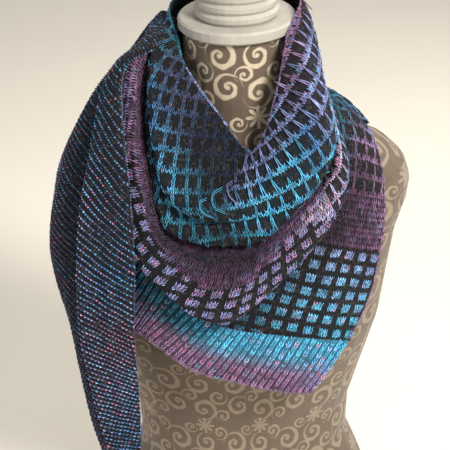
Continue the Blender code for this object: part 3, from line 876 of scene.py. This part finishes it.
# Columns: place, inset and drop from the cowl's lip where it starts, crest, lip, tuck behind the lip
foldSections = (
    ("left back", -3, 7, (-69, 59, 563), (-74, 63, 546), 6),
    ("left shoulder", -4, 7, (-80, 15, 569), (-86, 15, 553), 6),
    ("left collar", -8, 2, (-86, -25, 580), (-94, -18, 568), 6),
    ("left neck", -8, 6, (-102, -58, 566), (-116, -50, 556), 8),
    ("left side", -8, 10, (-104, -102, 498), (-118, -92, 496), 8),
    ("left low", 2, 14, (-95, -132, 431), (-109, -128, 415), 12),
    ("middle", 11, 8, (-58, -146, 396), (-74, -145, 374), 14),
    ("crease", 11, 8, (-34, -151, 388), (-49, -150, 354), 14),
    ("centre", 11, 8, (-5, -153, 394), (-16, -152, 352), 14),
    ("right low", 11, 9, (38, -146, 436), (42, -144, 404), 14),
    ("right rise", 7, 13, (67, -132, 459), (74, -132, 438), 12),
    ("right side", 2, 19, (87, -104, 483), (94, -103, 470), 8),
    ("right neck", 1, 19, (84, -66, 515), (89, -66, 503), 6),
    ("right shoulder", 4, 12, (72, -4, 554), (76, -4, 540), 6),
    ("right back", 8, 9, (61, 59, 556), (66, 64, 534), 7),
    ("back", 8, 9, (0, 86, 548), (0, 90, 526), 7),
)
# Yarn at the start, crest, lip and tuck
foldColours = (
    ("purple", "mauve", "slate", "plum"),
    ("mauve", "mauve", "purple", "plum"),
    ("purple", "mauve", "mauve", "plum"),
    ("purple", "mauve", "mauve", "plum"),
    ("purple", "mauve", "lavender", "slate"),
    ("plum", "purple", "cyan", "slate"),
    ("plum", "purple", "lavender", "slate"),
    ("plum", "purple", "lavender", "slate"),
    ("plum", "purple", "lavender", "slate"),
    ("purple", "mauve", "lavender", "slate"),
    ("purple", "pale", "lavender", "slate"),
    ("ink", "pale", "blue", "slate"),
    ("teal", "cyan", "teal", "ink"),
    ("teal", "teal", "teal", "ink"),
    ("teal", "slate", "slate", "plum"),
    ("purple", "mauve", "slate", "plum"),
)


def buildFold():
    profiles = []
    for cowlRow, (_, inset, below, crest, lip, depth) in zip(cowlSections, foldSections):
        cowlLip = cowlRow[3]
        start = tucked(cowlLip, inset, below)
        under = tucked(cowlLip, inset + fold["under"][0], fold["under"][1])
        profiles.append([under, start, (start + crest) / 2, crest, lip, tucked(lip, depth, 0)])
    coarse = loft(profiles, fold["along"], fold["across"], True)
    flat = stripFlat(coarse)
    yarnRows = [("plum", a, a, b, c, d) for a, b, c, d in foldColours]
    colours = colourGrid(yarnRows, True, fold["along"], coarse.shape[1])
    sheet = makeSheet("fold", fold, coarse, flat, colours, groundWool)

    def chart(places, dice):
        along, across = places["along"], places["across"]
        plain = plainParts(places, dice)
        net = latticeParts(places)
        blocks = squareParts(places)
        netted = (along > fold["net"][0]) & (along < fold["net"][1])
        squared = (along > fold["squares"][0]) & (along < fold["squares"][1])
        squared &= across > np.interp(along, *fold["squaresFrom"])
        paler = (1 - fold["paler"]) * places["colour"] + fold["paler"] * linearColour("lavender")
        places["colour"] = np.where(squared[:, None], paler, places["colour"])
        share, wide, tall, lift = pick(squared, blocks, pick(netted, net, plain))
        worked = (across > fold["worked"][0]) & (across < fold["worked"][1])
        return share, wide, tall, lift, worked

    stitches = layStitches("fold", sheet, fold, chart, vee)
    return sheet["object"], stitches


# The flat panel at the lower right, from the border's seam up to the shoulder
panel = {
    **usual, "along": 3, "stitch": (3.4, 2.75), "seed": 37,
    "accents": ("rose", "lavender", "mauve"), "accentShare": 0.16,
    "rollDepth": ((4, 5, 6, 7), (2.0, 6.0, 12.0, 15.0)),
    "rollDrop": ((4, 5, 6, 7), (0.0, -20.0, -26.0, -36.0)),
    "squareRows": 35, "netRow": 52, "edges": ((-1, 0.0, 7.0, 2.9, "mauve"),),
    "creases": (
        ((70, -100, 440), (20, -124, 350), -1.5, 8), ((100, -92, 430), (70, -118, 350), 1.4, 9),
        ((110, -60, 465), (120, -80, 400), -1.3, 8)),
}
# Courses from the seam up: five places from under the fold to the free edge
panelSections = (
    ("seam", (-62, -122, 347), (-22, -128, 325), (25, -128, 314), (66, -120, 301), (100, -104, 286)),
    ("squares", (-50, -119, 370), (-4, -122, 364), (42, -121, 354), (84, -110, 341), (121, -91, 328)),
    ("top squares", (-8, -117, 396), (32, -117, 392), (65, -112, 384), (99, -101, 374), (129, -84, 362)),
    ("chest", (28, -111, 423), (56, -107, 424), (84, -101, 420), (112, -90, 411), (136, -72, 400)),
    ("upper chest", (54, -97, 452), (75, -93, 453), (97, -86, 450), (119, -75, 442), (137, -60, 430)),
    ("collar bone", (70, -70, 490), (85, -68, 488), (100, -63, 483), (118, -54, 474), (134, -43, 460)),
    ("shoulder front", (78, -42, 508), (88, -40, 507), (99, -36, 502), (113, -31, 494), (127, -25, 478)),
    ("shoulder top", (80, -10, 507), (90, -10, 506), (101, -10, 501), (112, -10, 493), (123, -9, 478)),
    ("shoulder back", (80, 14, 500), (90, 15, 498), (101, 16, 493), (112, 16, 485), (123, 16, 473)),
)
# Yarn at the same five places; the dark yarns (ink, plum, deep teal) towards the fold are partly painted
# shade under it.
panelColours = (
    ("deep teal", "teal", "blue", "cyan", "cyan"),
    ("deep teal", "blue", "blue", "cyan", "cyan"),
    ("plum", "plum", "plum", "purple", "purple"),
    ("plum", "plum", "plum", "purple", "mauve"),
    ("ink", "plum", "purple", "purple", "mauve"),
    ("ink", "ink", "slate", "mauve", "mauve"),
    ("ink", "deep teal", "teal", "slate", "lavender"),
    ("deep teal", "teal", "teal", "slate", "slate"),
    ("deep teal", "teal", "teal", "teal", "teal"),
)


# Rows of a draped piece, each with its inner edge run on under the fold.
def rolledProfiles(settings, sections):
    profiles = []
    for place, (_, inner, *outer) in enumerate(sections):
        depth, drop = (float(np.interp(place, *settings[word])) for word in ("rollDepth", "rollDrop"))
        profiles.append([tucked(inner, depth, drop), inner, *outer])
    return profiles


def buildPanel():
    coarse = loft(rolledProfiles(panel, panelSections), panel["along"], panel["across"])
    flat = laidFlat(coarse)
    seam = flat[0, panel["across"]]
    run = flat[0, -1] - seam
    angle = -math.atan2(run[1], run[0])  # rows run level with the seam
    c, s = math.cos(angle), math.sin(angle)
    flat = (flat - seam) @ np.array([[c, s], [-s, c]])
    if flat[-1, :, 1].mean() < 0:
        flat[..., 1] *= -1
    yarnRows = [(row[0], *row) for row in panelColours]
    colours = colourGrid(yarnRows, False, panel["along"], coarse.shape[1])
    sheet = makeSheet("panel", panel, coarse, flat, colours, groundWool)

    def chart(places, dice):
        row = places["row"]
        plain = plainParts(places, dice)
        net = latticeParts(places)
        blocks = squareParts(places)
        netted = row > panel["netRow"]
        squared = row < panel["squareRows"]
        fade = np.clip(row / panel["squareRows"], 0, 1)[:, None] ** 2
        blockYarn = linearColour("cyan") + (linearColour("lavender") - linearColour("cyan")) * fade
        # Painted shade: the colour blocks are darkened towards the fold, which shades them.
        shade = np.clip(0.7 * places["across"] - 1.3, 0.2, 1.1)[:, None]  # darker near the fold
        places["colour"] = np.where(squared[:, None], blockYarn * shade, places["colour"])
        share, wide, tall, lift = pick(squared, blocks, pick(netted, net, plain))
        return share, wide, tall, lift, np.ones(len(row), bool)

    stitches = layStitches("panel", sheet, panel, chart, vee)
    return sheet["object"], stitches


# The ribbed border below the panel
border = {
    **usual, "along": 1, "across": 1, "finer": 1, "seed": 41, "outer": 1.5, "inner": 0.6, "uneven": 0.0,
    "ribs": 1.7, "ribCount": 44, "perRib": 8, "seamGap": 0.3, "fineRows": 24, "fineColumns": 7,
    "stitch": (1.0, 2.9), "ribStitch": (7.4, 2.9), "ribYarn": (0.66, 1.1, 0.1), "yarn": 1.7,
    "accents": ("cyan", "pink", "lavender"), "accentShare": 0.18,
    "groundShare": 0.3, "insideShare": 0.5, "edges": ((-1, 0.0, 400.0, 3.0, "mauve"),),
}
# Places from under the tail to the corner: the seam and the cast-off edge
borderSections = (
    ("under the tail", (-106, -92, 470), (-158, -74, 436)),
    ("left turn", (-102, -108, 430), (-152, -98, 380)),
    ("left", (-86, -116, 386), (-119, -118, 330)),
    ("left front", (-62, -122, 347), (-98, -123, 313)),
    ("seam start", (-22, -128, 325), (-58, -130, 280)),
    ("middle", (25, -128, 314), (-8, -132, 261)),
    ("right", (66, -120, 301), (30, -131, 248)),
    ("corner", (100, -104, 286), (61, -125, 239)),
)
# Yarn at the seam, a third of the way, two thirds and at the cast-off edge
borderColours = (
    ("deep teal", "deep teal", "slate", "mauve"),
    ("deep teal", "teal", "slate", "mauve"),
    ("deep teal", "teal", "slate", "mauve"),
    ("teal", "teal", "mauve", "mauve"),
    ("cyan", "cyan", "mauve", "mauve"),
    ("cyan", "cyan", "mauve", "mauve"),
    ("cyan", "cyan", "mauve", "mauve"),
    ("cyan", "cyan", "lavender", "mauve"),
)


# The same sheet, its rows at even steps along its middle line.
def spreadEvenly(rows, count):
    middle = rows[:, rows.shape[1] // 2]
    lengths = np.linalg.norm(np.diff(middle, axis=0), axis=1)
    reached = np.concatenate([[0.0], np.cumsum(lengths)])
    wanted = np.linspace(0.0, reached[-1], count)
    flat = rows.reshape(len(rows), -1)
    columns = [np.interp(wanted, reached, flat[:, column]) for column in range(flat.shape[1])]
    return np.stack(columns, axis=1).reshape(count, *rows.shape[1:])


def buildBorder():
    ends = np.array([section[1:] for section in borderSections], float)
    seam = ends[:, 0] - np.array([0.0, 0.0, border["seamGap"]])
    middle = (seam + ends[:, 1]) / 2 + np.array([0.0, -2.0, 0.0])
    profiles = np.stack([seam, middle, ends[:, 1]], axis=1)
    coarse = loft(profiles, border["fineRows"], border["fineColumns"])
    named = colourGrid(borderColours, False, border["fineRows"], coarse.shape[1])
    rows = border["ribCount"] * border["perRib"] + 1
    both = spreadEvenly(np.concatenate([coarse, named], axis=2), rows)
    coarse, colours = both[..., :3], both[..., 3:]
    flat = stripFlat(coarse)
    flat[..., 0] = (np.arange(rows) / border["perRib"])[:, None]
    sheet = makeSheet("border", border, coarse, flat, colours, groundWool)

    def chart(places, dice):
        count = len(places["row"])
        # Rib stitches are lightened by a fifth, a painted highlight along the rib crests; a random share of
        # them is darker.
        share = np.where(dice.random(count) < 0.15, 0.6, 1.2)
        return share, *(np.full(count, value) for value in border["ribYarn"]), np.ones(count, bool)

    wideRibs = dict(border, stitch=border["ribStitch"])
    stitches = layStitches("border", sheet, wideRibs, chart, vee)
    return sheet["object"], stitches


# The stretch across the back that joins panel and tail
drape = {
    **usual, "stitch": (3.3, 2.75), "seed": 53, "lean": 0, "region": (8, 16), "hair": 0.15,
    "accents": ("cyan", "rose", "lavender"), "accentShare": 0.1, "netUpTo": 1.2, "squaresFrom": 2.4,
    "rollDepth": ((0, 1, 2), (15.0, 12.0, 8.0)),
    "rollDrop": ((0, 1, 2, 4, 5), (-36.0, -26.0, -12.0, -12.0, 5.0)),
    "creases": (
        ((60, 92, 500), (-40, 98, 420), 1.6, 9), ((30, 92, 510), (-70, 96, 440), -1.5, 9),
        ((90, 70, 480), (20, 98, 400), 1.4, 9), ((-100, 66, 520), (-60, 98, 430), 1.5, 9)),
}
# Places from the right shoulder round the back to the left: under the fold, then down to the hem
drapeSections = (
    ("right shoulder", (80, 16.6, 500), (94, 17, 497), (109, 17.4, 488), (123, 17, 473)),
    ("right rear", (76, 52, 506), (96, 58, 490), (118, 60, 470), (138, 60, 444)),
    ("right blade", (46, 78, 520), (58, 92, 484), (74, 97, 440), (88, 97, 396)),
    ("back", (0, 84, 516), (0, 95, 476), (0, 98, 424), (0, 94.5, 368)),
    ("left blade", (-48, 82, 524), (-62, 95, 490), (-82, 101, 446), (-98, 98, 400)),
    ("left rear", (-83, 64, 547), (-104, 68, 526), (-130, 66, 492), (-150, 60, 452)),
    ("left shoulder", (-69, 25, 593), (-83, 29, 579), (-106, 33, 546), (-135, 37, 500)),
)
# Yarn at the same four places
drapeColours = (
    ("teal", "teal", "teal", "teal"),
    ("teal", "teal", "blue", "lavender"),
    ("slate", "purple", "blue", "cyan"),
    ("purple", "purple", "blue", "cyan"),
    ("purple", "slate", "teal", "cyan"),
    ("slate", "blue", "rose", "blue"),
    ("blue", "rose", "blue", "slate"),
)


def buildDrape():
    coarse = loft(rolledProfiles(drape, drapeSections), drape["along"], drape["across"])
    flat = turnedFlat(laidFlat(coarse), coarse[..., 2], drape["region"], drape["lean"])
    yarnRows = [("plum", *row) for row in drapeColours]
    colours = colourGrid(yarnRows, False, drape["along"], coarse.shape[1])
    sheet = makeSheet("back_drape", drape, coarse, flat, colours, groundWool)

    def chart(places, dice):
        plain = plainParts(places, dice, 1, 0.1)
        net = latticeParts(places)
        blocks = squareParts(places)
        squared = places["across"] > drape["squaresFrom"]
        netted = places["along"] < drape["netUpTo"]
        share, wide, tall, lift = pick(netted, net, pick(squared, blocks, plain))
        return share, wide, tall, lift, np.ones(len(netted), bool)

    stitches = layStitches("back_drape", sheet, drape, chart, vee)
    return sheet["object"], stitches


# The striped tail that hangs at the left, with its long pleat
tail = {
    **usual, "along": 3, "stitch": (3.6, 2.5), "hair": 0.15, "seed": 61, "fullPleat": 17.0,
    "slopes": (20, 25, 32, 40, 46, 47, 46, 44, 38, 32, 28, 26),
    "accents": ("pink", "cyan", "lavender", "blue", "cyan"), "accentShare": 0.7, "evenness": 0.3,
    "rowRuns": 0.25, "groundShare": 0.1, "insideShare": 0.7, "yarn": 1.65,
    # Painted light and shade: one factor for each column of the tail's sections
    "paintedShading": (0.8, 1.0, 1.1, 1.0, 0.1, 0.35, 0.7, 0.8), "roll": ((0, 3.0), (15.0, 3.0)),
    "edges": ((0, 0.0, 11.0, 3.0, "slate"), (-1, 0.0, 11.0, 3.0, "slate")),
    "creases": (
        ((-124, -146, 440), (-140, -150, 330), 1.6, 7), ((-150, -128, 440), (-150, -148, 340), -1.4, 7),
        ((-120, -60, 560), (-150, -100, 470), 1.6, 8), ((-176, -60, 440), (-180, -96, 380), 1.4, 7),
        ((-128, -148, 270), (-140, -146, 180), 1.4, 6)),
}
# Places down the tail: inner edge, front fold, outline, turned-back edge and depth of the pleat
tailSections = (
    ("shoulder", (-69, 24, 593), (-83, 28, 579), (-106, 32, 546), (-135, 36, 500), 0),
    ("over", (-73, -18, 588), (-87, -8, 581), (-105, 4, 556), (-138, 16, 503), 0),
    ("collar bone", (-91, -42, 583), (-102, -28, 575), (-120, -12, 549), (-148, 4, 503), 0),
    ("upper chest", (-108, -58, 577), (-117, -45, 568), (-136, -27, 537), (-158, -6, 490), 0),
    ("chest top", (-116, -77, 559), (-129, -67, 549), (-150, -42, 519), (-168, -18, 478), 3),
    ("chest", (-115, -112, 518), (-143, -99, 502), (-171, -58, 478), (-181, -30, 446), 11),
    ("mid", (-112, -136, 462), (-156, -125, 450), (-187, -80, 414), (-187, -52, 396), 16),
    ("bust", (-113, -148, 400), (-162, -143, 388), (-185, -93, 370), (-181, -66, 358), 17),
    ("low", (-117, -150, 336), (-162, -147, 334), (-174, -107, 326), (-166, -84, 320), 14),
    ("waist", (-116, -149, 272), (-156, -147, 270), (-167, -115, 266), (-158, -94, 262), 10),
    ("tip start", (-117, -147, 212), (-146, -149, 210), (-158, -125, 208), (-148, -108, 206), 3),
    ("tip", (-121, -142, 150), (-135, -144, 149), (-142, -130, 148), (-136, -116, 147), 0),
)
# Yarn at the inner edge, front fold, outline and turned-back edge
tailColours = (
    ("ink", "slate", "slate", "ink"),
    ("ink", "slate", "slate", "ink"),
    ("ink", "slate", "slate", "ink"),
    ("ink", "slate", "slate", "ink"),
    ("deep teal", "blue", "slate", "ink"),
    ("slate", "blue", "mauve", "slate"),
    ("slate", "lavender", "mauve", "slate"),
    ("blue", "lavender", "mauve", "slate"),
    ("mauve", "lavender", "slate", "slate"),
    ("lavender", "lavender", "slate", "slate"),
    ("blue", "lavender", "slate", "slate"),
    ("blue", "lavender", "slate", "slate"),
)


def buildTail():
    profiles = []
    for place, (_, inner, front, outline, turned, pleat) in enumerate(tailSections):
        roll = float(np.interp(place, *tail["roll"]))
        bulge = (np.asarray(inner, float) + front) / 2 + np.array([0.0, -2.0, 2.0])
        level = np.asarray(outline, float) - front
        spare = 1 - pleat / tail["fullPleat"]
        under = front + 0.2 * level * spare + np.array([0.7 * pleat, pleat, 0.0])
        behind = front + 0.5 * level + np.array([0.0, 0.4 * pleat, 0.0])
        rolled = tucked(inner, roll, 0.6 * roll)
        profiles.append([rolled, inner, bulge, front, under, behind, outline, turned])
    coarse = loft(profiles, tail["along"], tail["across"])
    flat = fannedFlat(coarse, tail["slopes"])
    yarnRows = [(a, a, a, b, b, b, c, d) for a, b, c, d in tailColours]
    colours = colourGrid(yarnRows, False, tail["along"], coarse.shape[1])
    # Painted light and shade: the colours are lighter on the bulge, darker on the rolled inner edge,
    # darkest in the pleat's under and behind layers, and darker towards the outline and the turned-back
    # edge.
    shadingColumns = np.arange(len(tail["paintedShading"]))
    columns = np.linspace(0, shadingColumns[-1], coarse.shape[1])
    colours = colours * np.interp(columns, shadingColumns, tail["paintedShading"])[None, :, None]
    sheet = makeSheet("tail", tail, coarse, flat, colours, stripedWool)

    def chart(places, dice):
        coloured = places["row"] % 2 == 0
        count = len(coloured)
        share = np.where(coloured, np.where(dice.random(count) < 0.12, 0.3, 1.0), 0.0)
        wide = np.where(coloured, 0.66, 1.0)
        return share, wide, np.ones(count), np.where(coloured, 0.3, 0.0), np.ones(count, bool)

    stitches = layStitches("tail", sheet, tail, chart, bead)
    return sheet["object"], stitches


# The dress form's printed cover and painted cap
cover = {
    "tile": (0.074, 0.086), "weave": 900.0,
    "ground": (112, 96, 80), "groundDark": (84, 70, 58), "print": (204, 188, 162),
    # Heights from and to, with the radius of the repeat and the print's strength at each
    "radius": (0.43, 0.51, 0.115, 0.056), "strength": (0.46, 0.51, 0.3, 0.95),
    # Columns: place across and up as shares of the tile, radius in metres, start turn, hand
    "scrolls": (
        (0.22, 0.26, 0.0165, 0.4, 1), (0.53, 0.16, 0.0100, 2.2, -1), (0.82, 0.34, 0.0150, 3.9, 1),
        (0.48, 0.49, 0.0120, 5.2, -1), (0.72, 0.70, 0.0165, 1.1, -1), (0.20, 0.70, 0.0140, 2.9, 1),
        (0.45, 0.86, 0.0100, 0.2, 1), (0.03, 0.49, 0.0095, 1.8, -1), (0.95, 0.92, 0.0085, 4.6, -1),
    ),
    "flower": (0.20, 0.98, 0.0130),
    "windings": 1.6, "tightening": 0.75, "leaves": 6.0, "leafWidth": 0.04, "lineWidth": (0.13, 0.2),
    "heart": 0.2, "petals": 8, "petalLength": 0.75, "flowerHeart": 0.2,
    "bump": (0.35, 0.0004), "finish": {"Roughness": 0.85, "Sheen Weight": 0.2},
}
capPaint = {
    "dark": (160, 155, 146), "light": (188, 182, 171), "clouds": 60.0,
    "bump": (0.08, 0.0005), "finish": {"Roughness": 0.42},
}


# Start of a group that prints a figure over a colour: its nodes, its inputs and its print.
def printGroup(name, words):
    tree = bpy.data.node_groups.new(name, "ShaderNodeTree")
    tree.interface.new_socket("Under", in_out="INPUT", socket_type="NodeSocketColor")
    tree.interface.new_socket("Print", in_out="INPUT", socket_type="NodeSocketColor")
    for word in ("Strength", "Across", "Up", "Radius", *words):
        tree.interface.new_socket(word, in_out="INPUT", socket_type="NodeSocketFloat")
    tree.interface.new_socket("Base Color", in_out="OUTPUT", socket_type="NodeSocketColor")
    nodes = Nodes(tree)
    value = nodes.add("NodeGroupInput").outputs
    square = [nodes.math("MULTIPLY", value[word], value[word]) for word in ("Across", "Up")]
    away = nodes.math("SQRT", nodes.math("ADD", *square))
    angle = nodes.math("ARCTAN2", value["Up"], value["Across"])
    return nodes, value, nodes.math("DIVIDE", away, value["Radius"]), angle


# Mixes the print in where the value is above nought, with a soft edge.
def endPrint(nodes, value, inside):
    soft = ranged(nodes, inside, 0.0, 0.1, 0.0, 1.0)
    mix = nodes.add("ShaderNodeMix", data_type="RGBA")
    nodes.join(nodes.math("MULTIPLY", soft, value["Strength"]), mix.inputs[0])
    nodes.join(value["Under"], mix.inputs[6])
    nodes.join(value["Print"], mix.inputs[7])
    nodes.join(mix.outputs[2], nodes.add("NodeGroupOutput").inputs["Base Color"])
    return nodes.tree


# Shared effect: a spiral scroll whose leafy line thins towards its heart.
def scrollGroup():
    nodes, value, share, angle = printGroup("printed scroll", ("Start", "Hand"))
    angle = nodes.math("MULTIPLY", angle, value["Hand"])
    turns = nodes.math("DIVIDE", nodes.math("ADD", angle, value["Start"]), 2 * math.pi)
    reach = nodes.math("MULTIPLY", nodes.math("POWER", share, cover["tightening"]), cover["windings"])
    winding = nodes.math("FRACT", nodes.math("ADD", reach, turns))
    fromLine = nodes.math("ABSOLUTE", nodes.math("SUBTRACT", winding, 0.5))
    wave = nodes.math("SINE", nodes.math("MULTIPLY", angle, cover["leaves"]))
    leaf = nodes.math("MULTIPLY", nodes.math("MULTIPLY", wave, share), cover["leafWidth"])
    thin, thicker = cover["lineWidth"]
    width = nodes.math("ADD", nodes.math("MULTIPLY", share, thicker), leaf)
    line = nodes.math("SUBTRACT", nodes.math("ADD", width, thin), fromLine)
    line = nodes.math("MINIMUM", line, nodes.math("SUBTRACT", 1.0, share))
    heart = nodes.math("SUBTRACT", cover["heart"], share)
    return endPrint(nodes, value, nodes.math("MAXIMUM", line, heart))


# Shared effect: a flower of pointed petals.
def flowerGroup():
    nodes, value, share, angle = printGroup("printed flower", ())
    petals = nodes.math("COSINE", nodes.math("MULTIPLY", angle, cover["petals"] / 2))
    petals = nodes.math("MULTIPLY", nodes.math("ABSOLUTE", petals), cover["petalLength"])
    rim = nodes.math("ADD", petals, cover["flowerHeart"])
    return endPrint(nodes, value, nodes.math("SUBTRACT", rim, share))


# Matt cover cloth printed with a plain repeat of scrolls and a flower.
def coverMaterial():
    material, nodes, shader = newMaterial("scrolled cover cloth")
    place = nodes.add("ShaderNodeTexCoord")
    split = nodes.add("ShaderNodeSeparateXYZ")
    nodes.join(place.outputs["Object"], split.inputs[0])
    x, y, up = split.outputs["X"], split.outputs["Y"], split.outputs["Z"]
    radius = ranged(nodes, up, *cover["radius"], interpolation_type="SMOOTHSTEP")
    angle = nodes.math("ARCTAN2", x, nodes.math("MULTIPLY", y, -1.0))
    across = nodes.math("MULTIPLY", angle, radius)
    strength = ranged(nodes, up, *cover["strength"])
    weave, colour = clouded(nodes, cover["weave"], cover["groundDark"], cover["ground"])
    scroll, flower = scrollGroup(), flowerGroup()
    tileWide, tileTall = cover["tile"]
    figures = [(scroll, *figure) for figure in cover["scrolls"]] + [(flower, *cover["flower"], 0.0, 0)]
    for group, shareAcross, shareUp, size, start, hand in figures:
        node = nodes.add("ShaderNodeGroup")
        node.node_tree = group
        for word, value, tile, share in (("Across", across, tileWide, shareAcross),
                                         ("Up", up, tileTall, shareUp)):
            shifted = nodes.math("FLOORED_MODULO", nodes.math("ADD", value, (0.5 - share) * tile), tile)
            nodes.join(nodes.math("SUBTRACT", shifted, 0.5 * tile), node.inputs[word])
        node.inputs["Radius"].default_value = size
        if hand:
            node.inputs["Start"].default_value = start
            node.inputs["Hand"].default_value = float(hand)
        node.inputs["Print"].default_value = (*linear(cover["print"]), 1.0)
        nodes.join(strength, node.inputs["Strength"])
        nodes.join(colour, node.inputs["Under"])
        colour = node.outputs["Base Color"]
    nodes.join(colour, shader.inputs["Base Color"])
    raised(nodes, shader, weave, *cover["bump"])
    finished(shader, cover["finish"])
    return material


# Satin grey paint, faintly clouded.
def paintMaterial():
    material, nodes, shader = newMaterial("satin grey paint")
    clouds, colour = clouded(nodes, capPaint["clouds"], capPaint["dark"], capPaint["light"])
    nodes.join(colour, shader.inputs["Base Color"])
    raised(nodes, shader, clouds, *capPaint["bump"])
    finished(shader, capPaint["finish"])
    return material


# The floor, the lights and the camera
room = {
    "floor": (252, 245, 232), "floorReach": 9000, "floorDepth": -0.5, "floorClouds": 3.0,
    "floorFinish": {"Roughness": 0.9}, "picture": 450, "sensor": 36, "clip": (0.05, 20),
    "worldTint": (1.0, 0.97, 0.93, 1.0), "worldStrength": 0.38, "aim": (0, 0, 0.42),
    # Columns: name, place, size, power, tint
    "lights": (
        ("key", (0.9, -1.1, 1.7), 0.5, 46, (1.0, 0.97, 0.92)),
        ("fill", (-1.4, -1.2, 1.2), 1.4, 10, (0.92, 0.95, 1.0)),
        ("rim", (0.7, 0.8, 1.5), 0.7, 12, (1.0, 0.96, 0.9)),
    ),
    "camera": (-0.0769, -1.1604, 1.0240), "lens": 102.4,
    "right": (0.99770, -0.06434, -0.02126), "up": (0.05016, 0.49032, 0.87009),
    "forward": (0.04555, 0.86916, -0.49242),
}


def floorMaterial():
    material, nodes, shader = newMaterial("pale floor")
    darker = [0.97 * share for share in room["floor"]]
    _, colour = clouded(nodes, room["floorClouds"], darker, room["floor"])
    nodes.join(colour, shader.inputs["Base Color"])
    finished(shader, room["floorFinish"])
    return material


def buildRoom():
    reach, depth = room["floorReach"], room["floorDepth"]
    corners = [(x * reach, y * reach, depth) for x, y in ((-1, -1), (1, -1), (1, 1), (-1, 1))]
    floor = meshObject("floor", corners, [(0, 1, 2, 3)], floorMaterial())
    for name, place, size, power, tint in room["lights"]:
        light = bpy.data.lights.new(name, "AREA")
        light.energy, light.size, light.color = power, size, tint
        lamp = bpy.data.objects.new(name, light)
        lamp.location = place
        lamp.rotation_euler = (Vector(room["aim"]) - Vector(place)).to_track_quat("-Z", "Y").to_euler()
        bpy.context.scene.collection.objects.link(lamp)
    world = bpy.data.worlds.new("soft room light")
    world.use_nodes = True
    sky = world.node_tree.nodes["Background"].inputs
    sky["Color"].default_value, sky["Strength"].default_value = room["worldTint"], room["worldStrength"]
    bpy.context.scene.world = world
    camera = bpy.data.cameras.new("camera")
    camera.lens, camera.sensor_width = room["lens"], room["sensor"]
    camera.clip_start, camera.clip_end = room["clip"]
    camera.dof.use_dof = False
    view = bpy.data.objects.new("camera", camera)
    axes = [Vector(room["right"]), Vector(room["up"]), -Vector(room["forward"])]
    view.matrix_world = Matrix.Translation(room["camera"]) @ Matrix(axes).transposed().to_4x4()
    bpy.context.scene.collection.objects.link(view)
    bpy.context.scene.camera = view
    scene = bpy.context.scene
    scene.render.resolution_x = scene.render.resolution_y = room["picture"]
    scene.view_settings.view_transform = "Standard"
    scene.view_settings.exposure = 0.0


# Columns: node, slot, what builds it, flat size in metres, how it is held, what it rests on
shawlParts = (
    ("front_cowl", "lattice_wool", buildCowl, (0.12, 0.40), "gathered", ("form_torso", "neck_plate")),
    ("front_fold", "squares_wool", buildFold, (0.079, 0.60), "gathered", ("form_torso",)),
    ("front_panel", "panel_wool", buildPanel, (0.16, 0.215), "draped", ("form_torso",)),
    ("ribbed_border", "ribbed_wool", buildBorder, (0.055, 0.345), "hung", ("front_panel",)),
    ("back_drape", "back_wool", buildDrape, (0.16, 0.295), "draped", ("form_torso",)),
    ("tail", "striped_wool", buildTail, (0.128, 0.48), "hung", ("back_drape",)),
)
made = {}
for node, _, build, *_ in shawlParts:
    made[node] = build()
    print(node, "built")

for shape in (vee, bead, hairShape):
    bpy.data.objects.remove(shape)
for node, slot, *_ in shawlParts:
    for piece in made[node]:
        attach(piece, "root")
        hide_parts(node)

cloth, paint = coverMaterial(), paintMaterial()
for node, material in (("form_torso", cloth), ("neck_plate", paint), ("neck_drum", paint)):
    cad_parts[node].data.materials.clear()
    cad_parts[node].data.materials.append(material)
buildRoom()
print("room built")
